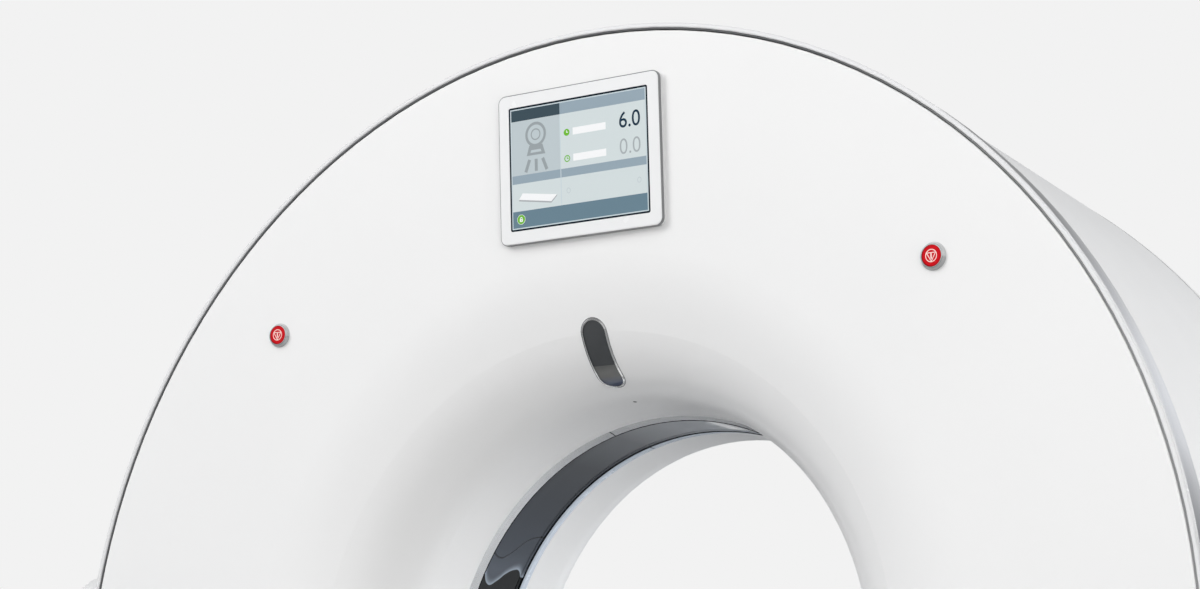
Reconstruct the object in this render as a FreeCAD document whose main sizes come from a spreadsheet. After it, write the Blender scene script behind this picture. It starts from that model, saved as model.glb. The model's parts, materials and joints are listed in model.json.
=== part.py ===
import FreeCAD, Part
import math
import os

import Sketcher

# CT scanner: a tilting drum between two side stands on a low floor frame.
# X runs to the right seen from the front, Y to the back, Z up.
# The origin lies on the floor, straight under the middle of the bore.

os.makedirs("parts", exist_ok=True)
doc = FreeCAD.newDocument("ct_scanner")

# Driving sizes in millimetres, angles in degrees
SIZES = {
    "iso_height": 1000,  # bore axis above the floor
    "fit_gap": 0.3,  # between covers that meet
    "running_gap": 0.06,  # radial play of shafts and races
    "cover_wall": 5,  # moulded covers
    # front cover, measured from its rim plane and from the bore axis
    "front_depth": 297,  # rim plane in front of the beam plane
    "cover_edge": 818,
    "edge_round": 3,
    "dish_angle": 5.6,
    "shoulder_radius": 315,
    "join_angle": 24,
    "flare_radius": 128,
    "throat_angle": 87,
    "throat_step": 4.6,  # throat outside the mouth
    "throat_depth": 164,
    "mouth_step": 4,  # mouth outside the bore
    # bore
    "bore_radius": 350,
    "window_wall": 3,
    "window_width": 82,
    "bore_ring_width": 14,
    "bore_ring_wall": 4,
    "seal_width": 2.4,
    "seal_recess": 2,
    # rim ring and trim band
    "rim_groove": 3,
    "rim_ring_width": 6,
    "rim_ring_length": 7.7,
    "rim_ring_proud": 2,
    "rim_ring_round": 1.8,
    "band_length": 44,
    "band_wall": 4,
    "band_crown_radius": 155,
    # side shells and rear cover
    "shell_step": 2,  # shells inside the trim band
    "shell_narrowing": 11,
    "shell_lip": 12,  # from the rear corner
    "shell_seam": 1.6,
    "rear_depth": 375,
    "rear_corner": 100,
    "rear_flare_radius": 70,
    "rear_flare_angle": 40,
    "rear_flare_start": 132,
    "rear_edge_radius": 150,
    "vent_count": 8,  # an even number
    "vent_pitch": 15,
    "vent_length": 96,
    "vent_half_width": 3.5,
    # display
    "display_inset": 163,  # from the cover edge
    "display_proud": 11,
    "display_width": 252,
    "display_height": 200,
    "display_thick": 24,
    "display_corner": 10,
    "display_edge": 1.6,
    "screen_width": 218.6,
    "screen_height": 165.6,
    "screen_thick": 3,
    "screen_recess": 0.3,
    # laser lens
    "lens_angle": 39.4,
    "lens_pitch": 65,
    "lens_half_width": 17.2,
    "lens_thick": 4,
    "lens_recess": 0.3,
    "lens_frame_wall": 1.5,
    "lens_frame_proud": 0.8,
    "lens_frame_depth": 14,
    # microphone hole
    "microphone_radius": 2.5,
    "microphone_length": 9,
    "microphone_angle": 82.5,
    # stop buttons
    "button_angle": 42.9,
    "button_inset": 128.5,  # from the cover edge
    "button_cap_radius": 12.9,
    "button_proud": 5.8,
    "button_length": 22,
    "button_round": 1.6,
    "button_travel": 4,
    "button_end_gap": 1,  # left behind a pressed button
    "bezel_radius": 17,
    "bezel_top_radius": 15.1,
    "bezel_barrel": 14.6,
    "bezel_foot": 1,  # height of its plain foot
    "bezel_proud": 5.6,
    "bezel_round": 1,
    "bezel_floor": 3,
    # cover frame
    "hoop_width": 40,
    "hoop_thick": 8,
    "strut_radius": 9,
    "strut_inset": 11,  # from the hoop
    "strut_count": 6,
    # stationary ring and its trunnions
    "frame_gap": 60,  # behind the rotor disc
    "frame_thick": 30,
    "frame_bore_step": 7,
    "frame_rim_width": 24,
    "frame_rim_depth": 60,
    "frame_boss_width": 38,
    "frame_boss_depth": 50,
    "frame_hole_inset": 198,  # from the cover edge
    "frame_hole_radius": 55,
    "frame_hole_count": 12,
    "arm_half_height": 110,
    "arm_thick": 20,
    "arm_gap": 2,  # from the side shells
    "trunnion_radius": 40,
    "trunnion_hub_radius": 58,
    "hub_gap": 4,  # from the stands
    "shaft_overhang": 8,  # past the sector gear
    "shell_hole_radius": 66,
    # main bearing
    "race_inner_step": 2,  # outside the slip ring hub
    "race_inner_wall": 23,
    "race_outer_wall": 27,
    "race_depth": 50,
    "race_step": 5,
    # rotor
    "disc_front": 70,
    "disc_thick": 25,
    "disc_bore_gap": 22,  # outside the bore
    "swing_gap": 22,  # from the cover frame
    "rotor_margin": 4,  # from the rim of the disc
    "disc_hole_step": 25,
    "disc_hole_radius": 22,
    "disc_hole_count": 16,
    "pulley_rim_step": 65,
    "pulley_rim_wall": 15,
    "pulley_rim_width": 40,
    "slip_hub_step": 68,
    "slip_hub_wall": 12,
    "slip_gap": 3,  # behind the frame
    "slip_thick": 26,
    "slip_width": 80,
    "slip_groove": 8,
    "slip_track": 14,
    "slip_groove_depth": 5,
    "slip_track_count": 4,
    "tube_margin": 28,  # above the cable sockets
    "tube_radius": 98,
    "tube_length": 240,
    "tube_nose_radius": 59,
    "tube_nose_shoulder": 83,
    "tube_nose_step": 24.5,
    "tube_flange": 112,
    "tube_flange_thick": 12,
    "socket_radius": 22,
    "socket_length": 124,
    "socket_near": 72,
    "socket_far": 156,
    "focus_drop": 25,  # below the middle of the tube
    "collimator_height": 61,
    "collimator_gap": 2,
    "collimator_width": 150,
    "collimator_depth": 130,
    "collimator_slot": 90,
    "collimator_slit": 41,
    "detector_gap": 90,  # outside the bore
    "detector_thick": 70,
    "detector_angle": 52,
    "detector_front": 80,
    "module_count": 24,
    "module_thick": 14,
    "module_width": 36,
    "module_length": 110,
    "generator_inner": 500,
    "generator_half_height": 160,
    "generator_front": 170,
    "fin_count": 9,
    "fin_gap": 16,
    "fin_depth": 60,
    "weight_gap": 23.4,  # from the ends of the detector
    "weight_front": 168,
    "weight_span": 25,
    "weight_angle": 38,
    "unit_inner": 520,
    "data_unit_front": 75,
    "power_unit_front": 120,
    "unit_span": 24,
    "unit_angle": 45,
    # belt drive
    "motor_angle": 60,
    "motor_step": 70,  # outside the frame holes
    "motor_radius": 72,
    "motor_length": 140,
    "motor_chamfer": 12,
    "motor_shaft_radius": 12,
    "motor_shaft_depth": 46,
    "shaft_end_gap": 1,
    "motor_hole_radius": 36,
    "motor_pulley_radius": 60,
    "belt_width": 32,
    "belt_thick": 4,
    # brush block
    "brush_angle": 135,
    "brush_width": 120,
    "brush_height": 70,
    # cooling fans
    "fan_angle": 15,
    "fan_size": 132,
    "fan_depth": 38,
    "fan_bore": 58,
    "fan_hub": 22,
    "fan_blade_count": 7,
    "fan_blade_chord": 26,
    "fan_blade_thick": 2.5,
    "fan_blade_pitch": 38,
    "fan_blade_root": 2,
    "fan_tip_gap": 2,
    "fan_front_gap": 3,
    "fan_pin_length": 23,
    "fan_arm": 8,
    # side stands
    "stand_gap": 27,  # outside the side shells
    "stand_width": 135,
    "stand_top": 162,  # above the bore axis
    "stand_half_depth": 200,
    "stand_foot_half_depth": 290,
    "stand_corner": 60,
    "stand_edge": 30,
    "post_set_in": 14,
    "post_width": 58,
    "post_thick": 60,
    "post_cover_gap": 20,
    "foot_plate_inset": 60,
    "post_plate": 18,
    "post_top_drop": 90,  # top plate below the bore axis
    "cross_bar_drop": 470,
    "bearing_half_width": 75,
    "bearing_length": 46,
    "bearing_round": 68,
    "shaft_hole_gap": 8,
    # tilt drive
    "gear_module": 4,
    "sector_teeth": 80,
    "sector_shown": 21,
    "pinion_teeth": 20,
    "gear_width": 18,
    "gear_gap": 4,  # outside the posts
    "gear_backlash": 0.14,  # share of a tooth's width
    "gear_addendum": 0.8,  # in modules
    "gear_dedendum": 1.05,  # in modules
    "gear_body_drop": 1,  # below the pitch circle, in modules
    "pressure_angle": 20,
    "sector_margin": 3,  # degrees past the last tooth
    "sector_hub": 62,
    "pinion_shaft_radius": 14,
    "pinion_shaft_length": 36,
    "gearbox_half_width": 55,
    "gearbox_height": 120,
    "tilt_motor_radius": 27,
    # floor frame
    "beam_set_in": 18,
    "beam_width": 96,
    "beam_half_length": 430,
    "beam_bottom": 26,
    "beam_top": 98,
    "tab_reach": 50,
    "tab_thick": 16,
    "tab_gap": 2,
    "anchor_edge": 22,
    "anchor_radius": 9,
    "cross_gap": 3,
    "cross_width": 60,
    "cross_set_in": 20,
    "cross_top": 84,
    "foot_radius": 38,
    "foot_thick": 12,
    "foot_stud_radius": 12,
    "foot_set_in": 50,
    # base covers
    "foot_cover_lip": 4,
    "foot_cover_margin": 7,
    "foot_cover_reach": 16,
    "foot_cover_bottom": 8,
    "foot_cover_corner": 30,
    "foot_cover_wall": 4,
    "post_gap": 4,
    "post_foot_gap": 8,
    "plinth_gap": 16,
    "plinth_corner": 6,
    # power box in the right stand
    "power_post_gap": 20,
    "power_top_gap": 44,
    "power_side_gap": 2,
}


PASS = 3  # a cut through a wall is this many times as deep as what it clears
OVERRUN = 1  # joined bars reach into each other, and cuts past a face, by this much
QUARTER_TURN = 90
OTHER_END = {1: 2, 2: 1}  # an edge's two ends by their number in a sketch


class Size:
    """A number that remembers the sheet formula it comes from."""

    def __init__(self, value, formula):
        self.value = float(value)
        self.formula = formula

    def __add__(self, other):
        other = sized(other)
        return Size(self.value + other.value, f"({self.formula} + {other.formula})")

    def __sub__(self, other):
        other = sized(other)
        return Size(self.value - other.value, f"({self.formula} - {other.formula})")

    def __mul__(self, other):
        other = sized(other)
        return Size(self.value * other.value, f"({self.formula} * {other.formula})")

    def __truediv__(self, other):
        other = sized(other)
        return Size(self.value / other.value, f"({self.formula} / {other.formula})")

    def __radd__(self, other):
        return sized(other) + self

    def __rsub__(self, other):
        return sized(other) - self

    def __rmul__(self, other):
        return sized(other) * self

    def __rtruediv__(self, other):
        return sized(other) / self

    def __neg__(self):
        return sized(0) - self


def sized(thing):
    return thing if isinstance(thing, Size) else Size(thing, repr(float(thing)))


def sine(angle):
    angle = sized(angle)
    return Size(math.sin(math.radians(angle.value)), f"sin({angle.formula})")


def cosine(angle):
    angle = sized(angle)
    return Size(math.cos(math.radians(angle.value)), f"cos({angle.formula})")


def tangent(angle):
    return sine(angle) / cosine(angle)


def root(thing):
    return Size(math.sqrt(thing.value), f"sqrt({thing.formula})")


def arc_cosine(thing):
    return Size(math.degrees(math.acos(thing.value)), f"acos({thing.formula})")


sheet = doc.addObject("Spreadsheet::Sheet", "Sizes")


class Sheet:
    """The driving sizes by name, each bound to its cell."""


size = Sheet()
for row, (alias, number) in enumerate(SIZES.items(), start=1):
    sheet.set(f"A{row}", str(number))
    sheet.setAlias(f"A{row}", alias)
    setattr(size, alias, Size(number, f"Sizes.{alias}"))
doc.recompute()

# Worked out from the driving sizes: radii and depths about the bore axis
mouth_radius = size.bore_radius + size.mouth_step
throat_radius = mouth_radius + size.throat_step
band_inner = size.cover_edge + size.rim_groove
band_outer = band_inner + size.band_wall
shell_front_radius = band_outer - size.shell_step
shell_rear_radius = shell_front_radius - size.shell_narrowing
shell_end = size.rear_depth - size.rear_corner - size.shell_lip
display_radius = size.cover_edge - size.display_inset
button_radius = size.cover_edge - size.button_inset
hoop_inner = size.cover_edge - size.hoop_width
strut_circle = hoop_inner + size.strut_inset
disc_bore = size.bore_radius + size.disc_bore_gap
disc_radius = hoop_inner - size.swing_gap
disc_back = size.disc_front + size.disc_thick
rotor_reach = disc_radius - size.rotor_margin
slip_hub_radius = disc_bore + size.slip_hub_step
slip_radius = slip_hub_radius + size.slip_width
race_inner = slip_hub_radius + size.race_inner_step
race_split = race_inner + size.race_inner_wall
race_outer = race_split + size.race_outer_wall
disc_hole_circle = race_split + size.disc_hole_step
pulley_rim_radius = race_split + size.pulley_rim_step
frame_bore = race_split + size.frame_bore_step
frame_front = disc_back + size.frame_gap
frame_back = frame_front + size.frame_thick
frame_hole_circle = size.cover_edge - size.frame_hole_inset
slip_front = frame_front + size.frame_boss_depth + size.slip_gap
motor_circle = frame_hole_circle + size.motor_step
tube_height = rotor_reach - size.tube_margin - size.socket_length
focus_height = tube_height - size.focus_drop
collimator_top = tube_height - size.tube_flange - size.collimator_gap
collimator_bottom = collimator_top - size.collimator_height
detector_radius = focus_height + size.bore_radius + size.detector_gap
detector_outer = detector_radius + size.detector_thick

# Worked out from the driving sizes: the stands and the floor frame, from the middle outwards
stand_inner = shell_front_radius + size.stand_gap
post_inner = stand_inner + size.post_set_in
post_outer = post_inner + size.post_width
post_back = size.stand_half_depth - size.post_cover_gap
post_front = post_back - size.post_thick
post_foot = size.stand_foot_half_depth - size.foot_plate_inset
gear_offset = post_outer + size.gear_gap
beam_inner = stand_inner + size.beam_set_in
beam_outer = beam_inner + size.beam_width
tab_half_length = size.beam_half_length + size.tab_reach
anchor_half_spacing = tab_half_length - size.anchor_edge
cross_back = size.beam_half_length - size.cross_set_in
cross_front = cross_back - size.cross_width
foot_spacing = size.beam_half_length - size.foot_set_in
foot_cover_inner = stand_inner - size.foot_cover_lip
foot_cover_outer = stand_inner + size.stand_width + size.foot_cover_margin
foot_cover_half_length = size.beam_half_length + size.foot_cover_reach
foot_cover_top = size.beam_top + size.fit_gap + size.foot_cover_wall
plinth_front = cross_front - size.plinth_gap
plinth_back = cross_back + size.plinth_gap
plinth_top = size.cross_top + size.fit_gap + size.foot_cover_wall

nodes = []


def keep(thing, label):
    thing.Label = label
    nodes.append(thing)
    return thing


# Places


def vector_of(x, y, z):
    return f"vector({sized(x).formula}; {sized(y).formula}; {sized(z).formula})"


def turn_of(axis, angle):
    return f"rotation(vector({axis}); {sized(angle).formula})"


def place_of(x, y, z, turn=turn_of("0; 0; 1", 0)):
    return f"placement({vector_of(x, y, z)}; {turn})"


AXIS = place_of(0, 0, size.iso_height)


def turned(angle):
    """Turned about the bore axis, so that local X points at this angle above the row's X."""
    return place_of(0, 0, 0, turn_of("0; 1; 0", -sized(angle)))


def spot(angle, radius, depth, lean):
    """A spot on the front skin: local Z leaves the skin, local X points away from the bore."""
    lift = turn_of("0; 0; 1", -sized(lean)) + " * " + turn_of("1; 0; 0", 90)
    return turned(angle) + " * " + place_of(radius, depth, 0, lift)


# Sketches and features


def new_body(label, place=None):
    body = doc.addObject("PartDesign::Body", label)
    if place:
        body.setExpression("Placement", place)
    return body


def new_sketch(body, plane, offset=None):
    sketch = body.newObject("Sketcher::SketchObject", body.Name + "_sketch")
    support = [feature for feature in body.Origin.OriginFeatures if feature.Role == plane]
    sketch.AttachmentSupport = [(support[0], "")]
    sketch.MapMode = "FlatFace"
    if offset:
        sketch.setExpression("AttachmentOffset", offset)
    return sketch


def arc_middle(start, finish, radius, turn):
    """Point halfway along the short arc: turn is 1 to the left, -1 to the right."""
    chord = finish.sub(start)
    half = chord.Length / 2
    rise = radius - math.sqrt(max(radius * radius - half * half, 0))
    left = FreeCAD.Vector(-chord.y, chord.x, 0).normalize()
    return start.add(finish).multiply(0.5).sub(left.multiply(turn * rise))


def pin_point(sketch, where, name, index, end, distance):
    """Hold one coordinate of a point to its formula."""
    if distance.formula == "0.0":
        axis = -2 if where == "DistanceX" else -1
        sketch.addConstraint(Sketcher.Constraint("PointOnObject", index, end, axis))
        return
    held = sketch.addConstraint(Sketcher.Constraint(where, -1, 1, index, end, distance.value))
    sketch.renameConstraint(held, name)
    sketch.setExpression(f"Constraints.{name}", distance.formula)


def outline(sketch, corners):
    """A closed loop: (u, v) starts a straight edge, (u, v, radius, turn) an arc."""
    count = len(corners)
    places = [(sized(corner[0]), sized(corner[1])) for corner in corners]
    points = [FreeCAD.Vector(u.value, v.value, 0) for u, v in places]
    first = sketch.GeometryCount
    edges = []
    for number, corner in enumerate(corners):
        start, finish = points[number], points[(number + 1) % count]
        if len(corner) == 4:
            middle = arc_middle(start, finish, sized(corner[2]).value, corner[3])
            edges.append(Part.Arc(start, middle, finish))
        else:
            edges.append(Part.LineSegment(start, finish))
    sketch.addGeometry(edges, False)
    starts = []
    for number, point in enumerate(points):
        near = sketch.getPoint(first + number, 1).distanceToPoint(point) < 1e-6
        starts.append(1 if near else 2)
    joins = []
    for number in range(count):
        before = (number - 1) % count
        end_before = OTHER_END[starts[before]]
        joins.append(
            Sketcher.Constraint("Coincident", first + before, end_before, first + number, starts[number])
        )
    sketch.addConstraint(joins)
    for number, (u, v) in enumerate(places):
        index = first + number
        pin_point(sketch, "DistanceX", f"u{index}", index, starts[number], u)
        pin_point(sketch, "DistanceY", f"v{index}", index, starts[number], v)
        if len(corners[number]) == 4:
            radius = sized(corners[number][2])
            held = sketch.addConstraint(Sketcher.Constraint("Radius", index, radius.value))
            sketch.renameConstraint(held, f"r{index}")
            sketch.setExpression(f"Constraints.r{index}", radius.formula)


def circle(sketch, u, v, radius):
    u, v, radius = sized(u), sized(v), sized(radius)
    index = sketch.addGeometry(
        Part.Circle(FreeCAD.Vector(u.value, v.value, 0), FreeCAD.Vector(0, 0, 1), radius.value), False
    )
    pin_point(sketch, "DistanceX", f"u{index}", index, 3, u)
    pin_point(sketch, "DistanceY", f"v{index}", index, 3, v)
    held = sketch.addConstraint(Sketcher.Constraint("Radius", index, radius.value))
    sketch.renameConstraint(held, f"r{index}")
    sketch.setExpression(f"Constraints.r{index}", radius.formula)


def rounded_rectangle(sketch, half_u, half_v, radius):
    a, b, r = sized(half_u), sized(half_v), sized(radius)
    outline(
        sketch,
        [
            (a, -(b - r)),
            (a, b - r, r, 1),
            (a - r, b),
            (-(a - r), b, r, 1),
            (-a, b - r),
            (-a, -(b - r), r, 1),
            (-(a - r), -b),
            (a - r, -b, r, 1),
        ],
    )


def pill(sketch, half_pitch, radius, rise=0):
    """A slot with round ends along local X, this far up local Y."""
    h, r, v = sized(half_pitch), sized(radius), sized(rise)
    outline(
        sketch,
        [
            (-h, v - r),
            (h, v - r, r, 1),
            (h + r, v, r, 1),
            (h, v + r),
            (-h, v + r, r, 1),
            (-(h + r), v, r, 1),
        ],
    )


def revolve(body, corners, plane="XY_Plane", angle=360, offset=None):
    """Turn an outline (radius, height along the axis) about the sketch's vertical axis."""
    sketch = new_sketch(body, plane, offset)
    outline(sketch, corners)
    spin = body.newObject("PartDesign::Revolution", body.Name + "_turned")
    spin.Profile = sketch
    spin.ReferenceAxis = (sketch, ["V_Axis"])
    spin.setExpression("Angle", sized(angle).formula)
    spin.Midplane = sized(angle).value < 360
    return spin


def extrude(body, sketch, length, kind="PartDesign::Pad", backwards=False, symmetric=False):
    feature = body.newObject(kind, body.Name + "_run")
    feature.Profile = sketch
    feature.setExpression("Length", sized(length).formula)
    feature.Reversed = backwards
    if symmetric:
        feature.SideType = "Symmetric"
    return feature


def pocket_through(body, sketch):
    feature = body.newObject("PartDesign::Pocket", body.Name + "_hole")
    feature.Profile = sketch
    feature.SideType = "Symmetric"
    feature.Type = "ThroughAll"
    return feature


def pattern(body, features, axis, count, angle=360):
    """Repeat features about one of the body's own axes; less than a full turn counts both ends."""
    repeat = body.newObject("PartDesign::PolarPattern", body.Name + "_pattern")
    repeat.Originals = features
    repeat.Axis = ([line for line in body.Origin.OriginFeatures if line.Role == axis][0], [""])
    repeat.setExpression("Angle", sized(angle).formula)
    repeat.setExpression("Occurrences", sized(count).formula)
    body.Tip = repeat
    return repeat


def round_edges(body, feature, wanted, radius):
    """Round the edges of a recomputed feature that pass a test."""
    rounding = body.newObject("PartDesign::Fillet", body.Name + "_edge")
    names = [f"Edge{n}" for n, edge in enumerate(feature.Shape.Edges, start=1) if wanted(edge)]
    rounding.Base = (feature, names)
    rounding.setExpression("Radius", sized(radius).formula)
    return rounding


def block(label, x, y, z):
    """A plain bar between two limits on each axis."""
    bar = doc.addObject("Part::Box", label)
    for axis, side, limits in (("x", "Length", x), ("y", "Width", y), ("z", "Height", z)):
        low, high = sized(limits[0]), sized(limits[1])
        bar.setExpression(side, (high - low).formula)
        bar.setExpression(f"Placement.Base.{axis}", low.formula)
    return bar


def post(label, place, radius, length):
    """A round bar along local Z of its place."""
    bar = doc.addObject("Part::Cylinder", label)
    bar.setExpression("Radius", sized(radius).formula)
    bar.setExpression("Height", sized(length).formula)
    bar.setExpression("Placement", place)
    return bar


def fuse(label, parts):
    whole = doc.addObject("Part::MultiFuse", label)
    whole.Shapes = parts
    whole.Refine = True
    return whole


def cut(label, base, tool):
    rest = doc.addObject("Part::Cut", label)
    rest.Base = base
    rest.Tool = tool
    rest.Refine = True
    return rest


def group(label, parts):
    together = doc.addObject("Part::Compound", label)
    together.Links = parts
    return together


def ring(label, inner, outer, low, high):
    """A plain hoop about the bore axis."""
    body = new_body(label, AXIS)
    revolve(body, [(inner, low), (outer, low), (outer, high), (inner, high)])
    return keep(body, label)


def segment(label, angle, span, inner, outer, low, high):
    """Part of a hoop about the bore axis, centred on an angle."""
    body = new_body(label, AXIS + " * " + turned(angle))
    revolve(body, [(inner, low), (outer, low), (outer, high), (inner, high)], angle=span)
    return body


# Front cover

rim_plane = -size.front_depth
mouth_end = -(size.window_width / 2 + size.fit_gap + size.bore_ring_width + size.fit_gap)
flange_end = rim_plane + size.rim_ring_length + size.band_length - size.hoop_thick - size.rim_ring_proud


def on_flare(angle):
    """Radius and depth on the flare where its skin leans this much."""
    centre_u = throat_radius + size.flare_radius * sine(size.throat_angle)
    centre_v = rim_plane + size.throat_depth + size.flare_radius * cosine(size.throat_angle)
    return centre_u - size.flare_radius * sine(angle), centre_v - size.flare_radius * cosine(angle)


def skin(back):
    """Shoulder, flare, throat and mouth of the front skin, this far behind what shows."""
    back = sized(back)
    throat_u, throat_v = on_flare(size.throat_angle)
    flare_u, flare_v = on_flare(size.join_angle)
    shoulder_u = flare_u + size.shoulder_radius * (sine(size.join_angle) - sine(size.dish_angle))
    shoulder_v = flare_v - size.shoulder_radius * (cosine(size.dish_angle) - cosine(size.join_angle))

    def behind(u, v, angle):
        return u + back * sine(angle), v + back * cosine(angle)

    return (
        behind(shoulder_u, shoulder_v, size.dish_angle),
        behind(flare_u, flare_v, size.join_angle),
        behind(throat_u, throat_v, size.throat_angle),
        (mouth_radius + back, mouth_end),
    )


def dish_depth(radius):
    """Depth of the front skin on its straight dish."""
    return rim_plane + (size.cover_edge - radius) * tangent(size.dish_angle)


display_spot = spot(90, display_radius, dish_depth(display_radius), size.dish_angle)
lens_spot = spot(90, *on_flare(size.lens_angle), size.lens_angle)
microphone_spot = spot(90, *on_flare(size.microphone_angle), size.microphone_angle)


def button_spot(side):
    angle = 90 - side * (90 - size.button_angle)
    return spot(angle, button_radius, dish_depth(button_radius), size.dish_angle)


SIDES = (("left", -1), ("right", 1))

shoulder, flare, throat, mouth = skin(0)
shoulder_in, flare_in, throat_in, mouth_in = skin(size.cover_wall)
inner_edge = size.cover_edge - size.cover_wall
front_cover = new_body("front_cover", AXIS)
revolve(
    front_cover,
    [
        (size.cover_edge - size.edge_round, rim_plane),
        (*shoulder, size.shoulder_radius, -1),
        (*flare, size.flare_radius, -1),
        throat,
        mouth,
        mouth_in,
        (*throat_in, size.flare_radius - size.cover_wall, 1),
        (*flare_in, size.shoulder_radius - size.cover_wall, 1),
        shoulder_in,
        (inner_edge, dish_depth(inner_edge) + size.cover_wall / cosine(size.dish_angle)),
        (inner_edge, flange_end),
        (size.cover_edge, flange_end),
        (size.cover_edge, rim_plane + size.edge_round, size.edge_round, -1),
    ],
)
display_seat = new_sketch(front_cover, "XY_Plane", display_spot)
rounded_rectangle(
    display_seat,
    size.display_height / 2 + size.fit_gap,
    size.display_width / 2 + size.fit_gap,
    size.display_corner + size.fit_gap,
)
extrude(front_cover, display_seat, size.display_thick * PASS, "PartDesign::Pocket", symmetric=True)
lens_seat = new_sketch(front_cover, "XY_Plane", lens_spot)
frame_half_width = size.lens_half_width + size.lens_frame_wall
pill(lens_seat, size.lens_pitch / 2, frame_half_width + size.fit_gap)
extrude(front_cover, lens_seat, size.lens_frame_depth * PASS, "PartDesign::Pocket", symmetric=True)
for word, side in SIDES:
    button_seat = new_sketch(front_cover, "XY_Plane", button_spot(side))
    circle(button_seat, 0, 0, size.bezel_barrel + size.fit_gap)
    extrude(front_cover, button_seat, size.cover_wall * PASS * 2, "PartDesign::Pocket", symmetric=True)
microphone_seat = new_sketch(front_cover, "XY_Plane", microphone_spot)
circle(microphone_seat, 0, 0, size.microphone_radius + size.fit_gap)
extrude(front_cover, microphone_seat, size.microphone_length * PASS, "PartDesign::Pocket", symmetric=True)
keep(front_cover, "front_cover")

# Rim ring and trim band

ring_outer = band_inner + size.rim_ring_width
ring_front = rim_plane - size.rim_ring_proud
band_front = ring_front + size.rim_ring_length + size.fit_gap
band_end = band_front + size.band_length
ring_round = size.rim_ring_round

rim_ring = new_body("rim_ring", AXIS)
revolve(
    rim_ring,
    [
        (band_inner + ring_round, ring_front),
        (ring_outer - ring_round, ring_front, ring_round, 1),
        (ring_outer, ring_front + ring_round),
        (ring_outer, band_front - size.fit_gap),
        (band_inner, band_front - size.fit_gap),
        (band_inner, ring_front + ring_round, ring_round, 1),
    ],
)
keep(rim_ring, "rim_ring")

trim_band = new_body("trim_band", AXIS)
revolve(
    trim_band,
    [
        (band_inner, band_front),
        (band_outer, band_front, size.band_crown_radius, 1),
        (band_outer, band_end),
        (band_inner, band_end),
    ],
)
keep(trim_band, "trim_band")

# Bore

window_half = size.window_width / 2
ring("scan_window", size.bore_radius, size.bore_radius + size.window_wall, -window_half, window_half)
bore_ring = new_body("bore_ring", AXIS)
revolve(
    bore_ring,
    [
        (mouth_radius, mouth_end + size.fit_gap),
        (mouth_radius + size.bore_ring_wall, mouth_end + size.fit_gap),
        (mouth_radius + size.bore_ring_wall, -window_half - size.fit_gap),
        (size.bore_radius, -window_half - size.fit_gap),
    ],
)
keep(bore_ring, "bore_ring")
seal_front = window_half + size.fit_gap
seal_inner = size.bore_radius + size.seal_recess
ring("bore_seal", seal_inner, seal_inner + size.cover_wall, seal_front, seal_front + size.seal_width)

# Side shells and rear cover

shell_start = band_end + size.fit_gap
shell_taper = (shell_front_radius - shell_rear_radius) / (shell_end - shell_start)


def shell_inner(depth):
    return shell_front_radius - size.cover_wall - shell_taper * (sized(depth) - shell_start)


half_seam = 180 * size.shell_seam / shell_front_radius / math.pi
for word, side in SIDES:
    label = f"side_shell_{word}"
    shell = new_body(label, AXIS + " * " + place_of(0, 0, 0, turn_of("0; 0; 1", 90 - side * 90)))
    start, end = (shell_start, shell_end)
    if side < 0:
        start, end = (-shell_start, -shell_end)
    revolve(
        shell,
        [
            (shell_front_radius - size.cover_wall, start),
            (shell_front_radius, start),
            (shell_rear_radius, end),
            (shell_rear_radius - size.cover_wall, end),
        ],
        angle=180 - half_seam,
    )
    hole = new_sketch(shell, "YZ_Plane")
    circle(hole, 0, 0, size.shell_hole_radius)
    pocket_through(shell, hole)
    keep(shell, label)

# The rear funnel flares from the bore, runs on as a cone and turns over into the rear face
wall = size.cover_wall
corner_start = size.rear_depth - size.rear_corner
flare_centre = size.bore_radius + size.rear_flare_radius
seal_end = seal_front + size.seal_width + size.fit_gap
rear_edge_centre = size.rear_depth - size.rear_edge_radius


def rear_flare_end(radius):
    return (
        flare_centre - radius * cosine(size.rear_flare_angle),
        size.rear_flare_start + radius * sine(size.rear_flare_angle),
    )


cone_start, cone_front = rear_flare_end(size.rear_flare_radius)
cone_back = rear_edge_centre + size.rear_edge_radius * sine(size.rear_flare_angle)
cone_end = cone_start + (cone_back - cone_front) * tangent(size.rear_flare_angle)
rear_flat_inner = cone_end + size.rear_edge_radius * cosine(size.rear_flare_angle)


def rear_edge_start(radius):
    return (
        rear_flat_inner - radius * cosine(size.rear_flare_angle),
        rear_edge_centre + radius * sine(size.rear_flare_angle),
    )


rear_cover = new_body("rear_cover", AXIS)
revolve(
    rear_cover,
    [
        (shell_rear_radius, shell_end + size.fit_gap),
        (shell_rear_radius, corner_start, size.rear_corner, 1),
        (shell_rear_radius - size.rear_corner, size.rear_depth),
        (rear_flat_inner, size.rear_depth, size.rear_edge_radius, 1),
        rear_edge_start(size.rear_edge_radius),
        (*rear_flare_end(size.rear_flare_radius), size.rear_flare_radius, 1),
        (size.bore_radius, size.rear_flare_start),
        (size.bore_radius, seal_end),
        (size.bore_radius + wall, seal_end),
        (size.bore_radius + wall, size.rear_flare_start, size.rear_flare_radius - wall, -1),
        rear_flare_end(size.rear_flare_radius - wall),
        (*rear_edge_start(size.rear_edge_radius - wall), size.rear_edge_radius - wall, -1),
        (rear_flat_inner, size.rear_depth - wall),
        (shell_rear_radius - size.rear_corner, size.rear_depth - wall, size.rear_corner - wall, -1),
        (shell_rear_radius - wall, corner_start),
        (shell_rear_radius - wall, shell_end + size.fit_gap),
    ],
)
vent_circle = (rear_flat_inner + shell_rear_radius - size.rear_corner) / 2
vent_count = SIZES["vent_count"]
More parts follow.
